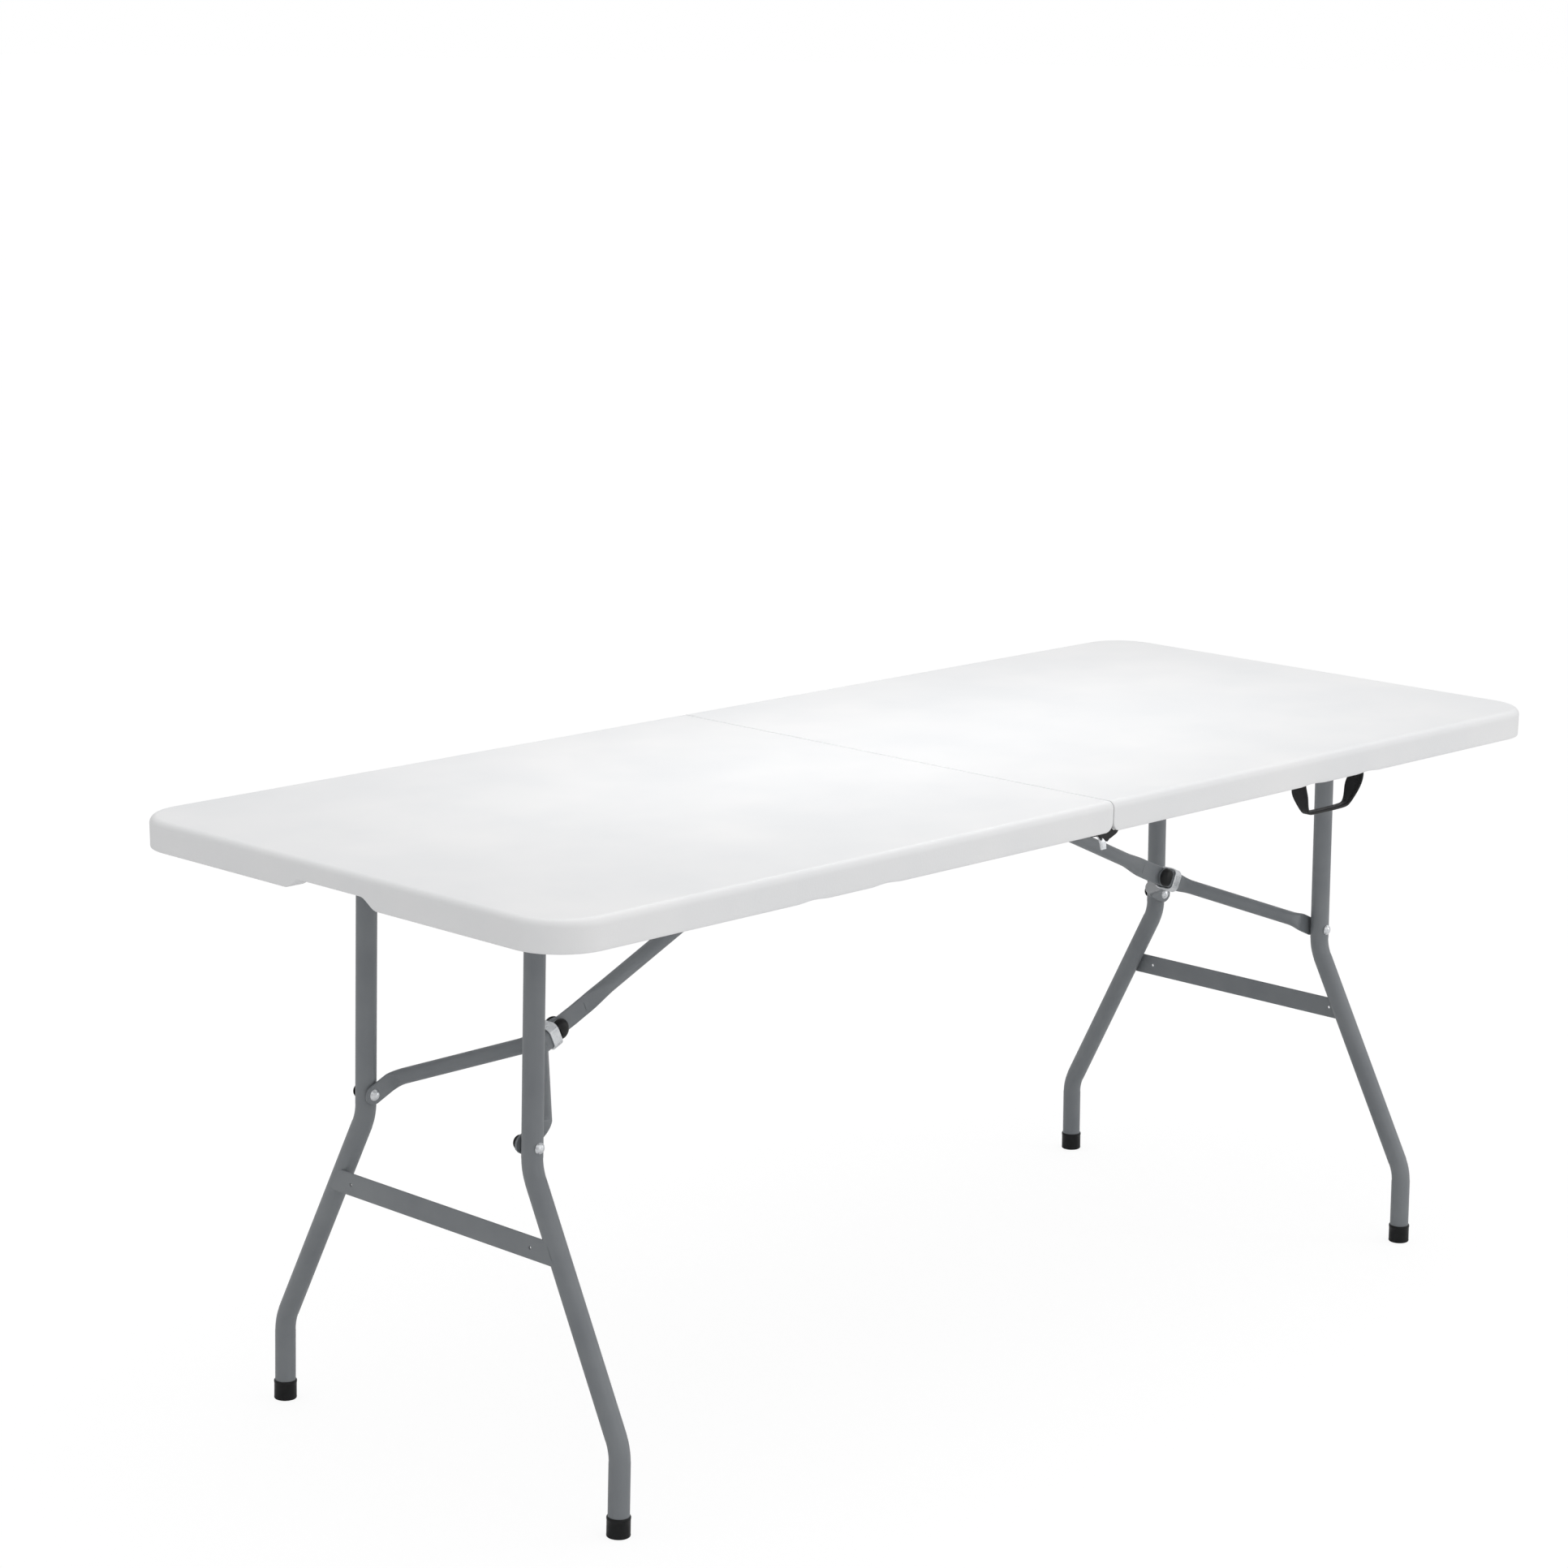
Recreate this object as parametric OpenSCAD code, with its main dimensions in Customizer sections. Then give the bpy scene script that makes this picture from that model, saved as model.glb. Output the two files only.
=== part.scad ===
// Folding picnic table: a blow-moulded top in two halves that fold at the middle,
// with a steel leg frame, a knuckle brace and a sliding lock ring under each half.
// X runs along the table, Y across it, Z up. The origin is on the floor under the centre.

/* [Table] */
// Length of the open table
table_l = 1800; // [1500:10:2200]
// Width of the table
table_w = 740; // [700:5:860]
// Height of the top surface above the floor
table_h = 740; // [680:5:900]
// Corner radius seen from above
corner_r = 66; // [45:1:90]
// Radius of the rounded top edge
edge_r = 9; // [5:0.5:12]
// Height of the rim
rim_h = 37; // [36:0.5:40]
// Thickness of the hollow rim
rim_t = 25; // [20:0.5:26]
// Thickness of the hollow deck inside the rim
deck_t = 9; // [8:0.5:9]
// Skin of the blow-moulded plastic
skin_t = 2.2; // [1.8:0.1:2.5]
// Gap between the two halves
seam_gap = 1; // [0.6:0.1:1.4]
// Thickness of the wall beside the seam
seam_wall_t = 7.5; // [6:0.5:8]
// Rounding of the rim's lower corner at the seam
seam_corner_r = 12; // [8:1:14]
// Width of the finger notch in each end
notch_w = 118; // [90:2:150]
// Depth of the finger notch
notch_d = 12; // [8:1:14]

/* [Leg frames] */
// Distance of the leg pivot from the middle of the table
pivot_x = 726; // [720:1:800]
// Outside diameter of the pivot tube
pivot_tube_d = 27; // [26:0.5:27]
// Outside diameter of the leg tube
leg_tube_d = 25; // [22:0.5:25]
// Wall of the steel tubes
tube_wall = 1.2; // [1:0.1:1.6]
// Distance of the upper leg from the centre line
leg_upper_y = 145; // [120:1:160]
// Distance of the foot from the centre line
leg_foot_y = 295; // [240:1:295]
// Height of the upper bend above the floor
upper_bend_h = 390; // [350:5:400]
// Height of the lower bend above the floor
lower_bend_h = 101; // [80:1:130]
// Radius of the leg bends
leg_bend_r = 60; // [40:5:80]
// Outward lean of the open legs in degrees
leg_lean = 1; // [0.5:0.1:2]
// Height of the crossbar above the floor
crossbar_h = 304; // [280:2:330]
// Height of the flattened crossbar
crossbar_face = 28; // [22:1:32]
// Thickness of the flattened crossbar
crossbar_t = 3; // [2:0.5:3]
// Diameter of the drain holes in the crossbar
crossbar_hole_d = 4.5; // [3:0.5:6]
// Outside diameter of the foot cap
foot_cap_d = 28; // [27:0.5:28]
// Height of the foot cap
foot_cap_h = 24; // [18:1:32]
// Sole of the foot cap
foot_sole_t = 4; // [3:0.5:6]

/* [Braces] */
// Distance of the brace anchor from the middle of the table
anchor_x = 60; // [50:1:90]
// Outside diameter of the brace tube
brace_tube_d = 19; // [16:0.5:19]
// Height of the flattened brace ends
brace_flat_h = 24; // [22:0.5:24]
// Thickness of the flattened brace ends
brace_flat_t = 3; // [2.5:0.5:4]
// Height of the brace bolt on the leg above the floor
leg_bolt_h = 417; // [410:1:430]
// Diameter of the brace bolts and rivets
bolt_d = 6; // [5:0.5:6]
// Length of the lock ring
ring_l = 14; // [12:1:18]
// Wall of the lock ring
ring_wall = 2; // [1.5:0.5:2]
// Width and height inside the lock ring
ring_bore = 27; // [27:0.5:28]

/* [Centre hinge and handle] */
// Diameter of the centre hinge pin
hinge_pin_d = 8; // [6:0.5:8]
// Thickness of the hinge leaves
leaf_t = 3; // [2:0.5:3]
// Distance of the handle from the middle of the table
handle_x = 478; // [400:2:520]
// Span of the handle between its eyes
handle_span = 124; // [110:2:140]
// Length of the grip
handle_grip_l = 80; // [70:2:96]
// Drop of the grip below the handle pivot
handle_drop = 55; // [45:1:65]
// Width of the handle's arms
handle_w = 26; // [20:1:26]

/* [Hidden] */

LEFT = -1;
RIGHT = 1;
FRONT = -1;
BACK = 1;
$fn = 64;
touch = 0.01;
slide_fit = 0.1;
facet_fit = 0.02;
side_gap = 1;

white = "whitesmoke";
grey = "dimgray";
black = "black";
zinc = "silver";

// Levels of the top
rim_z = table_h - rim_h;
deck_z = table_h - deck_t;
half_l = table_l / 2;
half_w = table_w / 2;
inner_y = half_w - rim_t;
inner_x = half_l - rim_t;

// Side rails, which also carry the leg pivots and the centre hinge
rail_w = 16;
rail_h = 14;
rail_wall = 1.5;
rail_inner_y = inner_y - 29.5;
rail_outer_y = rail_inner_y + rail_w;
rail_start_x = 26;
rail_end_x = pivot_x + 40;
rail_z = deck_z - rail_h;
screw_d = 4;
screw_hole_d = 4.2;
screw_head_d = 9;
screw_head_h = 2.2;
screw_depth = 5;
rail_screw_start = 120;
rail_screw_last = 40;
rail_screw_x = [
  for (i = [0:3]) rail_screw_start + i * (pivot_x - rail_screw_start - rail_screw_last) / 3
];

// Leg frame, drawn hanging straight down from its pivot and then leaned outward
fold_clear = 0.5;
pivot_z = deck_z - fold_clear - foot_cap_d / 2;
bracket_t = 3;
bracket_half_w = 18;
bracket_y = rail_inner_y - bracket_t;
bracket_drop = 13;
pivot_tube_end = bracket_y - 1.5;
stub_d = 12;
stub_l = 16;
bush_l = 14;
function down(h) = (pivot_z - h) / cos(leg_lean);
upper_bend = down(upper_bend_h);
lower_bend = down(lower_bend_h);
leg_l = down(0);
splay = atan((leg_foot_y - leg_upper_y) / (lower_bend - upper_bend));
bend_set = leg_bend_r * tan(splay / 2);
crossbar_at = down(crossbar_h);
function leg_y_at(d) = leg_upper_y + (d - upper_bend) * tan(splay);
crossbar_out = leg_tube_d / 2 + 0.5;
crossbar_hole_y = leg_y_at(crossbar_at) - 33;
leg_bolt_at = down(leg_bolt_h);

// Stations down the leg's centre line, each [y, z, tilt]: straight, bend out, slope, bend back, straight
bend_steps = 5;
leg_stations = concat(
  [[leg_upper_y, 0, 0]],
  [for (i = [0:bend_steps]) let (a = splay * i / bend_steps)
    [leg_upper_y + leg_bend_r * (1 - cos(a)), -(upper_bend - bend_set) - leg_bend_r * sin(a), a]],
  [for (i = [bend_steps:-1:0]) let (a = splay * i / bend_steps)
    [leg_foot_y - leg_bend_r * (1 - cos(a)), -(lower_bend + bend_set) + leg_bend_r * sin(a), a]],
  [[leg_foot_y, -(leg_l - foot_sole_t), 0]]);
leg_sides = 24;

// Brace linkage: arm_l and link_l make it lie straight when open and fold flat when shut
anchor_drop = 13;
anchor_z = deck_z - fold_clear - anchor_drop;
bolt_open_x = pivot_x + leg_bolt_at * sin(leg_lean);
bolt_open_z = pivot_z - leg_bolt_at * cos(leg_lean);
open_dx = bolt_open_x - anchor_x;
open_dz = anchor_z - bolt_open_z;
open_span = sqrt(open_dx * open_dx + open_dz * open_dz);
brace_angle = atan(open_dz / open_dx);
shut_dx = pivot_x - leg_bolt_at - anchor_x;
shut_dz = anchor_z - pivot_z;
shut_span = sqrt(shut_dx * shut_dx + shut_dz * shut_dz);
arm_l = (open_span - shut_span) / 2;
link_l = open_span - arm_l;
anchor_tube_half = 50;
saddle_y = 41;
saddle_w = 14;
saddle_wall = 3;
saddle_foot = 13;
saddle_screw_x = [anchor_x - saddle_foot - 4, anchor_x + saddle_foot + 4];

// Corners of the square lock ring
ring_outer_r = 9;
ring_inner_r = 7;

// Reliefs in the front rim, and the slope beside the end notch
relief_r = 55;
relief_d = 1.6;
relief_inset = 3;
relief_x = handle_x - 22;
notch_ramp = 18;

// Groove under the deck for the shut brace, and the hole that the panel is blown through
groove_half = ring_bore / 2 + ring_wall + 3;
groove_start = anchor_x - 20;
groove_end = pivot_x - leg_bolt_at + arm_l + brace_flat_h;
groove_rise = 3.5;
blow_hole_d = 6;

// Knuckle, where the two brace arms straddle the flattened end of the upper brace
flat_tail = 32;
flat_lead = 48;
flat_blend = 42;
arm_gap = 0.4;
tongue_t = 4;
tongue_back = 12;
cap_side = 5.5;
cap_d = 25;
cap_t = 7.5;
oval_t = 11.5;
oval_start = 6;
oval_end = 26;
oval_y = brace_flat_t / 2 + arm_gap + oval_t / 2;
tongue_y = brace_flat_t / 2 + arm_gap;
arm_tip_t = 3;
arm_tip_y = leg_upper_y - leg_tube_d / 2 - side_gap - arm_tip_t;
arm_turn_far = arm_l - 26;
arm_lead = 17;
arm_press = 24;
arm_tip_end = arm_l + brace_flat_h / 2;
rivet_head_d = 10;
rivet_head_t = 1.5;
ring_start = 7;

// Bolts at the leg ends of the brace arms
bolt_head_d = 14;
bolt_head_t = 4;
cap_nut_d = 17;
cap_nut_t = 11;
cap_nut_r = 10;
cap_nut_low_t = 5.5;

// Centre hinge
hinge_z = rim_z;
left_leaf_y = rail_outer_y;
right_leaf_y = left_leaf_y + leaf_t + 0.5;
lever_y = right_leaf_y + leaf_t + 0.7;
leaf_l = 84;
leaf_lobe_r = 7.5;
leaf_neck = 6;
leaf_neck_x = 2;
leaf_bend_x = 20;
leaf_bolt_x = [40, 68];
leaf_bolt_d = 6;
leaf_bolt_head_d = 10;
leaf_bolt_head_t = 2;
lever_t = 2;
lever_w = 9;
lever_pivot_x = -30;
lever_pivot_z = rim_z + 10;
lever_pin_d = 4;
lever_tip_x = 2;
lever_tip_z = rim_z - 19;
leaf_stack_t = lever_y + lever_t - left_leaf_y;
pin_head_t = 2;
slot_clear = 1;

// Handle
handle_y = -(inner_y - 14);
handle_pivot_z = rim_z + 6;
handle_t = 4.5;
handle_eye_d = 10;
handle_pin_d = 5;
handle_grip_w = 12;
handle_grip_t = 5.5;
// Each level of an arm: drop below the pivot, width, and lean towards the middle
handle_levels = [[4, handle_eye_d, 0], [18, handle_w, 0], [34, handle_w, 7]];
ear_end_d = 10;
ear_back = 11;
ear_t = 3;
ear_gap = 0.5;

module on_side(side) {
  if (side < 0) mirror([1, 0, 0]) children();
  else children();
}

module on_row(row) {
  if (row < 0) mirror([0, 1, 0]) children();
  else children();
}

module both_rows() {
  for (row = [FRONT, BACK]) on_row(row) children();
}

// A cylinder along Y, from y to y + l
module bar_y(d, l, y = 0) {
  translate([0, y + l, 0]) rotate([90, 0, 0]) cylinder(d = d, h = l);
}

// A cylinder along X, from x to x + l
module bar_x(d, l, x = 0) {
  translate([x, 0, 0]) rotate([0, 90, 0]) cylinder(d = d, h = l);
}

module leg_place() {
  translate([pivot_x, 0, pivot_z]) rotate([0, -leg_lean, 0]) children();
}

// Origin at the knuckle, +X along the brace towards the leg
module knuckle_place() {
  translate([anchor_x, 0, anchor_z]) rotate([0, brace_angle, 0]) translate([link_l, 0, 0]) children();
}

// Outline of one half: square at the seam, round at the outer corners
module half_outline(inset = 0) {
  r = corner_r - inset;
  union() {
    translate([seam_gap / 2, -(half_w - inset)])
      square([half_l - inset - r - seam_gap / 2, 2 * (half_w - inset)]);
    translate([seam_gap / 2, -(half_w - inset - r)])
      square([half_l - inset - seam_gap / 2, 2 * (half_w - inset - r)]);
    for (row = [FRONT, BACK])
      translate([half_l - inset - r, row * (half_w - inset - r)]) circle(r = r);
  }
}

// Rim section of width w: square below, rounded at the outer top corner
module rim_section(w) {
  union() {
    square([w, rim_h - edge_r]);
    square([w - edge_r, rim_h]);
    translate([w - edge_r, rim_h - edge_r]) circle(r = edge_r);
  }
}

// The outer body of one half with its rounded top edge
module half_body() {
  long_l = half_l - corner_r - seam_gap / 2;
  union() {
    both_rows() translate([seam_gap / 2, 0, rim_z]) rotate([90, 0, 90])
      linear_extrude(height = long_l) rim_section(half_w);
    translate([half_l - corner_r - touch, half_w - corner_r, rim_z]) rotate([90, 0, 0])
      linear_extrude(height = 2 * (half_w - corner_r)) rim_section(corner_r + touch);
    both_rows() translate([half_l - corner_r, half_w - corner_r, rim_z])
      rotate_extrude() rim_section(corner_r);
  }
}

// The hollow inside the skin: a thin layer in the deck and a channel in the rim
module half_hollow() {
  deep = rim_t - skin_t;
  translate([0, 0, deck_z + skin_t]) linear_extrude(height = deck_t - 2 * skin_t)
    difference() {
      intersection() {
        half_outline(rim_t - touch);
        translate([seam_wall_t + skin_t, -half_w]) square([half_l, table_w]);
      }
      translate([0, -(groove_half + skin_t)]) square([groove_end + skin_t, 2 * (groove_half + skin_t)]);
    }
  translate([0, 0, rim_z + skin_t]) linear_extrude(height = rim_h - edge_r - 2 * skin_t)
    difference() {
      intersection() {
        half_outline(skin_t);
        translate([seam_corner_r + skin_t, -half_w]) square([half_l, table_w]);
      }
      half_outline(deep);
      translate([inner_x - touch, -(notch_w / 2 + notch_ramp + skin_t)])
        square([rim_t + 2, notch_w + 2 * notch_ramp + 2 * skin_t]);
    }
}

module top_panel(side) {
  color(white) on_side(side) difference() {
    half_body();
    // Recess under the deck
    translate([0, 0, rim_z - touch]) linear_extrude(height = deck_z - rim_z + touch)
      intersection() {
        half_outline(rim_t);
        translate([seam_gap / 2 + seam_wall_t, -half_w]) square([half_l, table_w]);
      }
    half_hollow();
    // Groove that the brace and the lock ring lie in when shut
    translate([groove_start, -groove_half, deck_z - touch])
      cube([groove_end - groove_start, 2 * groove_half, groove_rise + touch]);
    // Rounded lower corner at the seam, cut along the whole width
    seam_corner();
    // Slots for the hinge leaves
    both_rows() translate([0, left_leaf_y - pin_head_t - slot_clear, rim_z - 1])
      cube([
        seam_gap / 2 + seam_wall_t + 1,
        leaf_stack_t + pin_head_t + 2 * slot_clear,
        deck_z - rim_z + 1
      ]);
    end_notch();
    handle_reliefs();
    // Blow hole into the deck, and pilot holes for the deck screws
    translate([pivot_x - 80, 220, deck_z - 1]) cylinder(d = blow_hole_d, h = skin_t + 2);
    both_rows() for (x = rail_screw_x)
      translate([x, rail_inner_y + rail_w / 2, deck_z - 1])
        cylinder(d = screw_hole_d, h = screw_depth + 1.5);
    both_rows() for (x = saddle_screw_x)
      translate([x, saddle_y, deck_z - 1]) cylinder(d = screw_hole_d, h = screw_depth + 1.5);
  }
}

module seam_corner() {
  translate([0, -half_w - 1, rim_z])
    difference() {
      translate([-1, 0, -1]) cube([seam_gap / 2 + seam_corner_r + 1, table_w + 2, seam_corner_r + 1]);
      translate([seam_gap / 2 + seam_corner_r, -1, seam_corner_r]) bar_y(2 * seam_corner_r, table_w + 4);
    }
}

// Finger notch in the rim of the short end, with sloped sides
module end_notch() {
  top = notch_w / 2;
  foot = top + notch_ramp;
  translate([inner_x - 1, 0, rim_z]) rotate([90, 0, 90]) linear_extrude(height = rim_t + 2)
    polygon([[-foot, -1], [-foot, 0], [-top, notch_d], [top, notch_d], [foot, 0], [foot, -1]]);
}

// Shallow reliefs in the front rim that clear the handle's arms
module handle_reliefs() {
  for (dx = [-1, 1] * (handle_span / 2 - relief_inset))
    translate([relief_x + dx, -half_w - 1, rim_z - relief_r + relief_d])
      bar_y(2 * relief_r, rim_t + 2);
}

module side_rails(side) {
  color(grey) on_side(side) both_rows() difference() {
    translate([rail_start_x, rail_inner_y, rail_z]) cube([rail_end_x - rail_start_x, rail_w, rail_h]);
    translate([rail_start_x - 1, rail_inner_y + rail_wall, rail_z + rail_wall])
      cube([rail_end_x - rail_start_x + 2, rail_w - 2 * rail_wall, rail_h - 2 * rail_wall]);
    for (x = rail_screw_x)
      translate([x, rail_inner_y + rail_w / 2, rail_z - 1]) cylinder(d = screw_hole_d, h = rail_h + 2);
    for (x = leaf_bolt_x)
      translate([x, 0, rail_z + rail_h / 2]) bar_y(leaf_bolt_d + 0.2, rail_w + 2, rail_inner_y - 1);
  }
}

// One pan-head screw pointing up, with the underside of its head at the origin
module deck_screw(l) {
  cylinder(d = screw_d, h = l);
  translate([0, 0, -screw_head_h]) cylinder(d = screw_head_d, h = screw_head_h);
}

module deck_screws(side) {
  color(zinc) on_side(side) both_rows() {
    for (x = rail_screw_x)
      translate([x, rail_inner_y + rail_w / 2, rail_z]) deck_screw(rail_h + screw_depth);
    for (x = saddle_screw_x)
      translate([x, saddle_y, deck_z - saddle_wall]) deck_screw(saddle_wall + screw_depth);
  }
}

// Plate beside the rail with a stub that the pivot tube turns on
module pivot_brackets(side) {
  color(zinc) on_side(side) both_rows() union() {
    translate([pivot_x - bracket_half_w, bracket_y, pivot_z])
      cube([2 * bracket_half_w, bracket_t, deck_z - pivot_z]);
    translate([pivot_x, bracket_y, pivot_z]) bar_y(2 * bracket_drop, bracket_t);
    translate([pivot_x, 0, pivot_z]) bar_y(stub_d, stub_l + bracket_t, bracket_y - stub_l);
  }
}

// Saddle that holds the anchor tube up against the deck
module brace_saddles(side) {
  foot_half = saddle_foot + 4 + screw_head_d / 2 + 1.5;
  outer_d = brace_tube_d + 2 * saddle_wall;
  color(zinc) on_side(side) both_rows() difference() {
    union() {
      translate([anchor_x - foot_half, saddle_y - saddle_w / 2, deck_z - saddle_wall])
        cube([2 * foot_half, saddle_w, saddle_wall]);
      translate([anchor_x - outer_d / 2, saddle_y - saddle_w / 2, anchor_z])
        cube([outer_d, saddle_w, deck_z - anchor_z]);
      translate([anchor_x, saddle_y - saddle_w / 2, anchor_z]) bar_y(outer_d, saddle_w);
    }
    translate([anchor_x, saddle_y - saddle_w, anchor_z]) bar_y(brace_tube_d + slide_fit, 2 * saddle_w);
    for (x = saddle_screw_x)
      translate([x, saddle_y, deck_z - saddle_wall - 1]) cylinder(d = screw_hole_d, h = saddle_wall + 2);
  }
}

// Hinge leaf on the +X side: a plate along the rail with a round lobe at the pin
module hinge_leaf(y) {
  difference() {
    union() {
      translate([0, y + leaf_t, 0]) rotate([90, 0, 0]) linear_extrude(height = leaf_t)
        polygon([[leaf_neck_x, hinge_z - leaf_neck], [leaf_neck_x, hinge_z + leaf_neck],
                 [leaf_bend_x, deck_z - 4], [leaf_l, deck_z - 1], [leaf_l, rail_z],
                 [leaf_bolt_x[0] + 4, rail_z - 2], [leaf_bend_x + 6, rim_z + 1]]);
      translate([0, 0, hinge_z]) bar_y(2 * leaf_lobe_r, leaf_t, y);
    }
    translate([0, 0, hinge_z]) bar_y(hinge_pin_d + slide_fit, leaf_t + 2, y - 1);
    for (x = leaf_bolt_x)
      translate([x, 0, rail_z + rail_h / 2]) bar_y(leaf_bolt_d + 0.2, leaf_t + 2, y - 1);
  }
}

module leaf_node(side, row) {
  y = side < 0 ? left_leaf_y : right_leaf_y;
  color(grey) on_side(side) on_row(row) hinge_leaf(y);
}

// Bolts through leaf and rail; on the right a shoulder fills the space behind the leaf
module leaf_bolts(side) {
  y = side < 0 ? left_leaf_y : right_leaf_y;
  color(zinc) on_side(side) both_rows() for (x = leaf_bolt_x)
    translate([x, 0, rail_z + rail_h / 2]) union() {
      bar_y(leaf_bolt_d, y + leaf_t - rail_inner_y + leaf_bolt_head_t, rail_inner_y - leaf_bolt_head_t);
      bar_y(leaf_bolt_head_d, leaf_bolt_head_t, y + leaf_t);
      bar_y(leaf_bolt_head_d, leaf_bolt_head_t, rail_inner_y - leaf_bolt_head_t);
      if (side > 0) bar_y(leaf_bolt_head_d, y - rail_outer_y, rail_outer_y);
    }
}

module centre_hinge_pins() {
  color(zinc) both_rows() translate([0, 0, hinge_z]) union() {
    bar_y(hinge_pin_d, right_leaf_y + leaf_t - left_leaf_y, left_leaf_y);
    bar_y(hinge_pin_d + 3, pin_head_t, left_leaf_y - pin_head_t);
  }
}

module pivot_tube(side) {
  inner_d = pivot_tube_d - 2 * tube_wall;
  color(grey) on_side(side) leg_place() difference() {
    bar_y(pivot_tube_d, 2 * pivot_tube_end, -pivot_tube_end);
    bar_y(inner_d, 2 * pivot_tube_end + 2, -pivot_tube_end - 1);
  }
}

// Plastic bushes pressed into the tube ends; the bracket stubs turn in them
module pivot_bushes(side) {
  inner_d = pivot_tube_d - 2 * tube_wall;
  color(black) on_side(side) leg_place() both_rows() difference() {
    bar_y(inner_d, bush_l, pivot_tube_end - bush_l);
    bar_y(stub_d + slide_fit, bush_l + 2, pivot_tube_end - bush_l - 1);
  }
}

function leg_ring(station, r) = [for (j = [0:leg_sides - 1]) let (a = 360 * j / leg_sides)
  [r * cos(a), station[0] + r * sin(a) * cos(station[2]), station[1] + r * sin(a) * sin(station[2])]];

// Hollow tube swept along the stations, closed by a flat ring at each end
module leg_sweep() {
  n = len(leg_stations);
  outer = [for (s = leg_stations) each leg_ring(s, leg_tube_d / 2)];
  inner = [for (s = leg_stations) each leg_ring(s, leg_tube_d / 2 - tube_wall)];
  start = n * leg_sides;
  last = (n - 1) * leg_sides;
  walls = [for (i = [0:n - 2], j = [0:leg_sides - 1]) let (
      k = (j + 1) % leg_sides, a = i * leg_sides + j, b = i * leg_sides + k,
      c = a + leg_sides, d = b + leg_sides)
    each [[a, b, d, c], [start + a, start + c, start + d, start + b]]];
  ends = [for (j = [0:leg_sides - 1]) let (k = (j + 1) % leg_sides)
    each [[j, start + j, start + k, k], [last + j, last + k, start + last + k, start + last + j]]];
  polyhedron(points = concat(outer, inner), faces = concat(walls, ends), convexity = 6);
}

module leg_tube(side, row) {
  color(grey) on_side(side) leg_place() on_row(row) difference() {
    leg_sweep();
    bar_y(pivot_tube_d, 2 * half_w, 0);
    crossbar_solid();
    translate([0, 0, -leg_bolt_at])
      bar_y(bolt_d + facet_fit, leg_tube_d + 2, leg_upper_y - leg_tube_d / 2 - 1);
  }
}

// Flattened tube that lies in the outer side of both legs, its ends cut to their slope
module crossbar_solid() {
  mid = leg_y_at(crossbar_at);
  lean_half = crossbar_face / 2 * tan(splay);
  translate([crossbar_out - crossbar_t, 0, -crossbar_at]) rotate([90, 0, 90])
    linear_extrude(height = crossbar_t)
      polygon([[-mid - lean_half, -crossbar_face / 2], [mid + lean_half, -crossbar_face / 2],
               [mid - lean_half, crossbar_face / 2], [-mid + lean_half, crossbar_face / 2]]);
}

module crossbar(side) {
  color(grey) on_side(side) leg_place() difference() {
    crossbar_solid();
    both_rows() translate([crossbar_out - crossbar_t - 1, crossbar_hole_y, -crossbar_at])
      rotate([0, 90, 0]) cylinder(d = crossbar_hole_d, h = crossbar_t + 2);
  }
}

// Caps over the feet, their soles cut level with the floor
module foot_caps(side) {
  color(black) on_side(side) both_rows() difference() {
    leg_place() translate([0, leg_foot_y, -leg_l - 2]) cylinder(d = foot_cap_d, h = foot_cap_h + 2);
    leg_place() translate([0, leg_foot_y, -(leg_l - foot_sole_t)]) cylinder(d = leg_tube_d, h = foot_cap_h);
    translate([0, 0, -20]) cube([half_l, half_w, 20]);
  }
}

// A domed disc along +Y with its flat side at the origin
module dome(d, t) {
  ball_r = (d * d / 4 + t * t) / (2 * t);
  rotate([-90, 0, 0]) rotate_extrude() intersection() {
    translate([0, t - ball_r]) circle(r = ball_r);
    square([d / 2, t]);
  }
}

module capped_bar(d, t, ball_r) {
  intersection() {
    bar_y(d, t);
    translate([0, t - ball_r, 0]) sphere(r = ball_r);
  }
}

// Shank in the front and back leg; the silver head is on the outside of the front leg
module leg_bolts(side) {
  outer = leg_upper_y + leg_tube_d / 2;
  color(zinc) on_side(side) leg_place() {
    translate([0, 0, -leg_bolt_at]) union() {
      bar_y(bolt_d, leg_tube_d, -outer);
      translate([0, -outer, 0]) mirror([0, 1, 0]) dome(bolt_head_d, bolt_head_t);
    }
    translate([0, 0, -leg_bolt_at]) bar_y(bolt_d, leg_tube_d, outer - leg_tube_d);
  }
}

module leg_cap_nut(side) {
  color(black) on_side(side) leg_place()
    translate([0, leg_upper_y + leg_tube_d / 2, -leg_bolt_at]) dome(cap_nut_d, cap_nut_low_t);
}

module upper_brace(side) {
  tube_l = link_l - flat_lead - flat_blend;
  color(grey) on_side(side) knuckle_place() difference() {
    union() {
      translate([-link_l, 0, 0]) bar_x(brace_tube_d, tube_l);
      hull() {
        bar_x(brace_tube_d, 1, -(flat_lead + flat_blend));
        translate([-flat_lead, -brace_flat_t / 2, -brace_flat_h / 2]) cube([1, brace_flat_t, brace_flat_h]);
      }
      translate([-flat_lead, -brace_flat_t / 2, -brace_flat_h / 2])
        cube([flat_lead + flat_tail, brace_flat_t, brace_flat_h]);
    }
    translate([-link_l - 1, 0, 0]) bar_x(brace_tube_d - 2 * tube_wall, tube_l - 2 * tube_wall);
    translate([-link_l, 0, 0]) bar_y(brace_tube_d + facet_fit, 2 * brace_tube_d, -brace_tube_d);
    bar_y(bolt_d + slide_fit, brace_flat_t + 2, -brace_flat_t / 2 - 1);
  }
}

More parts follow.
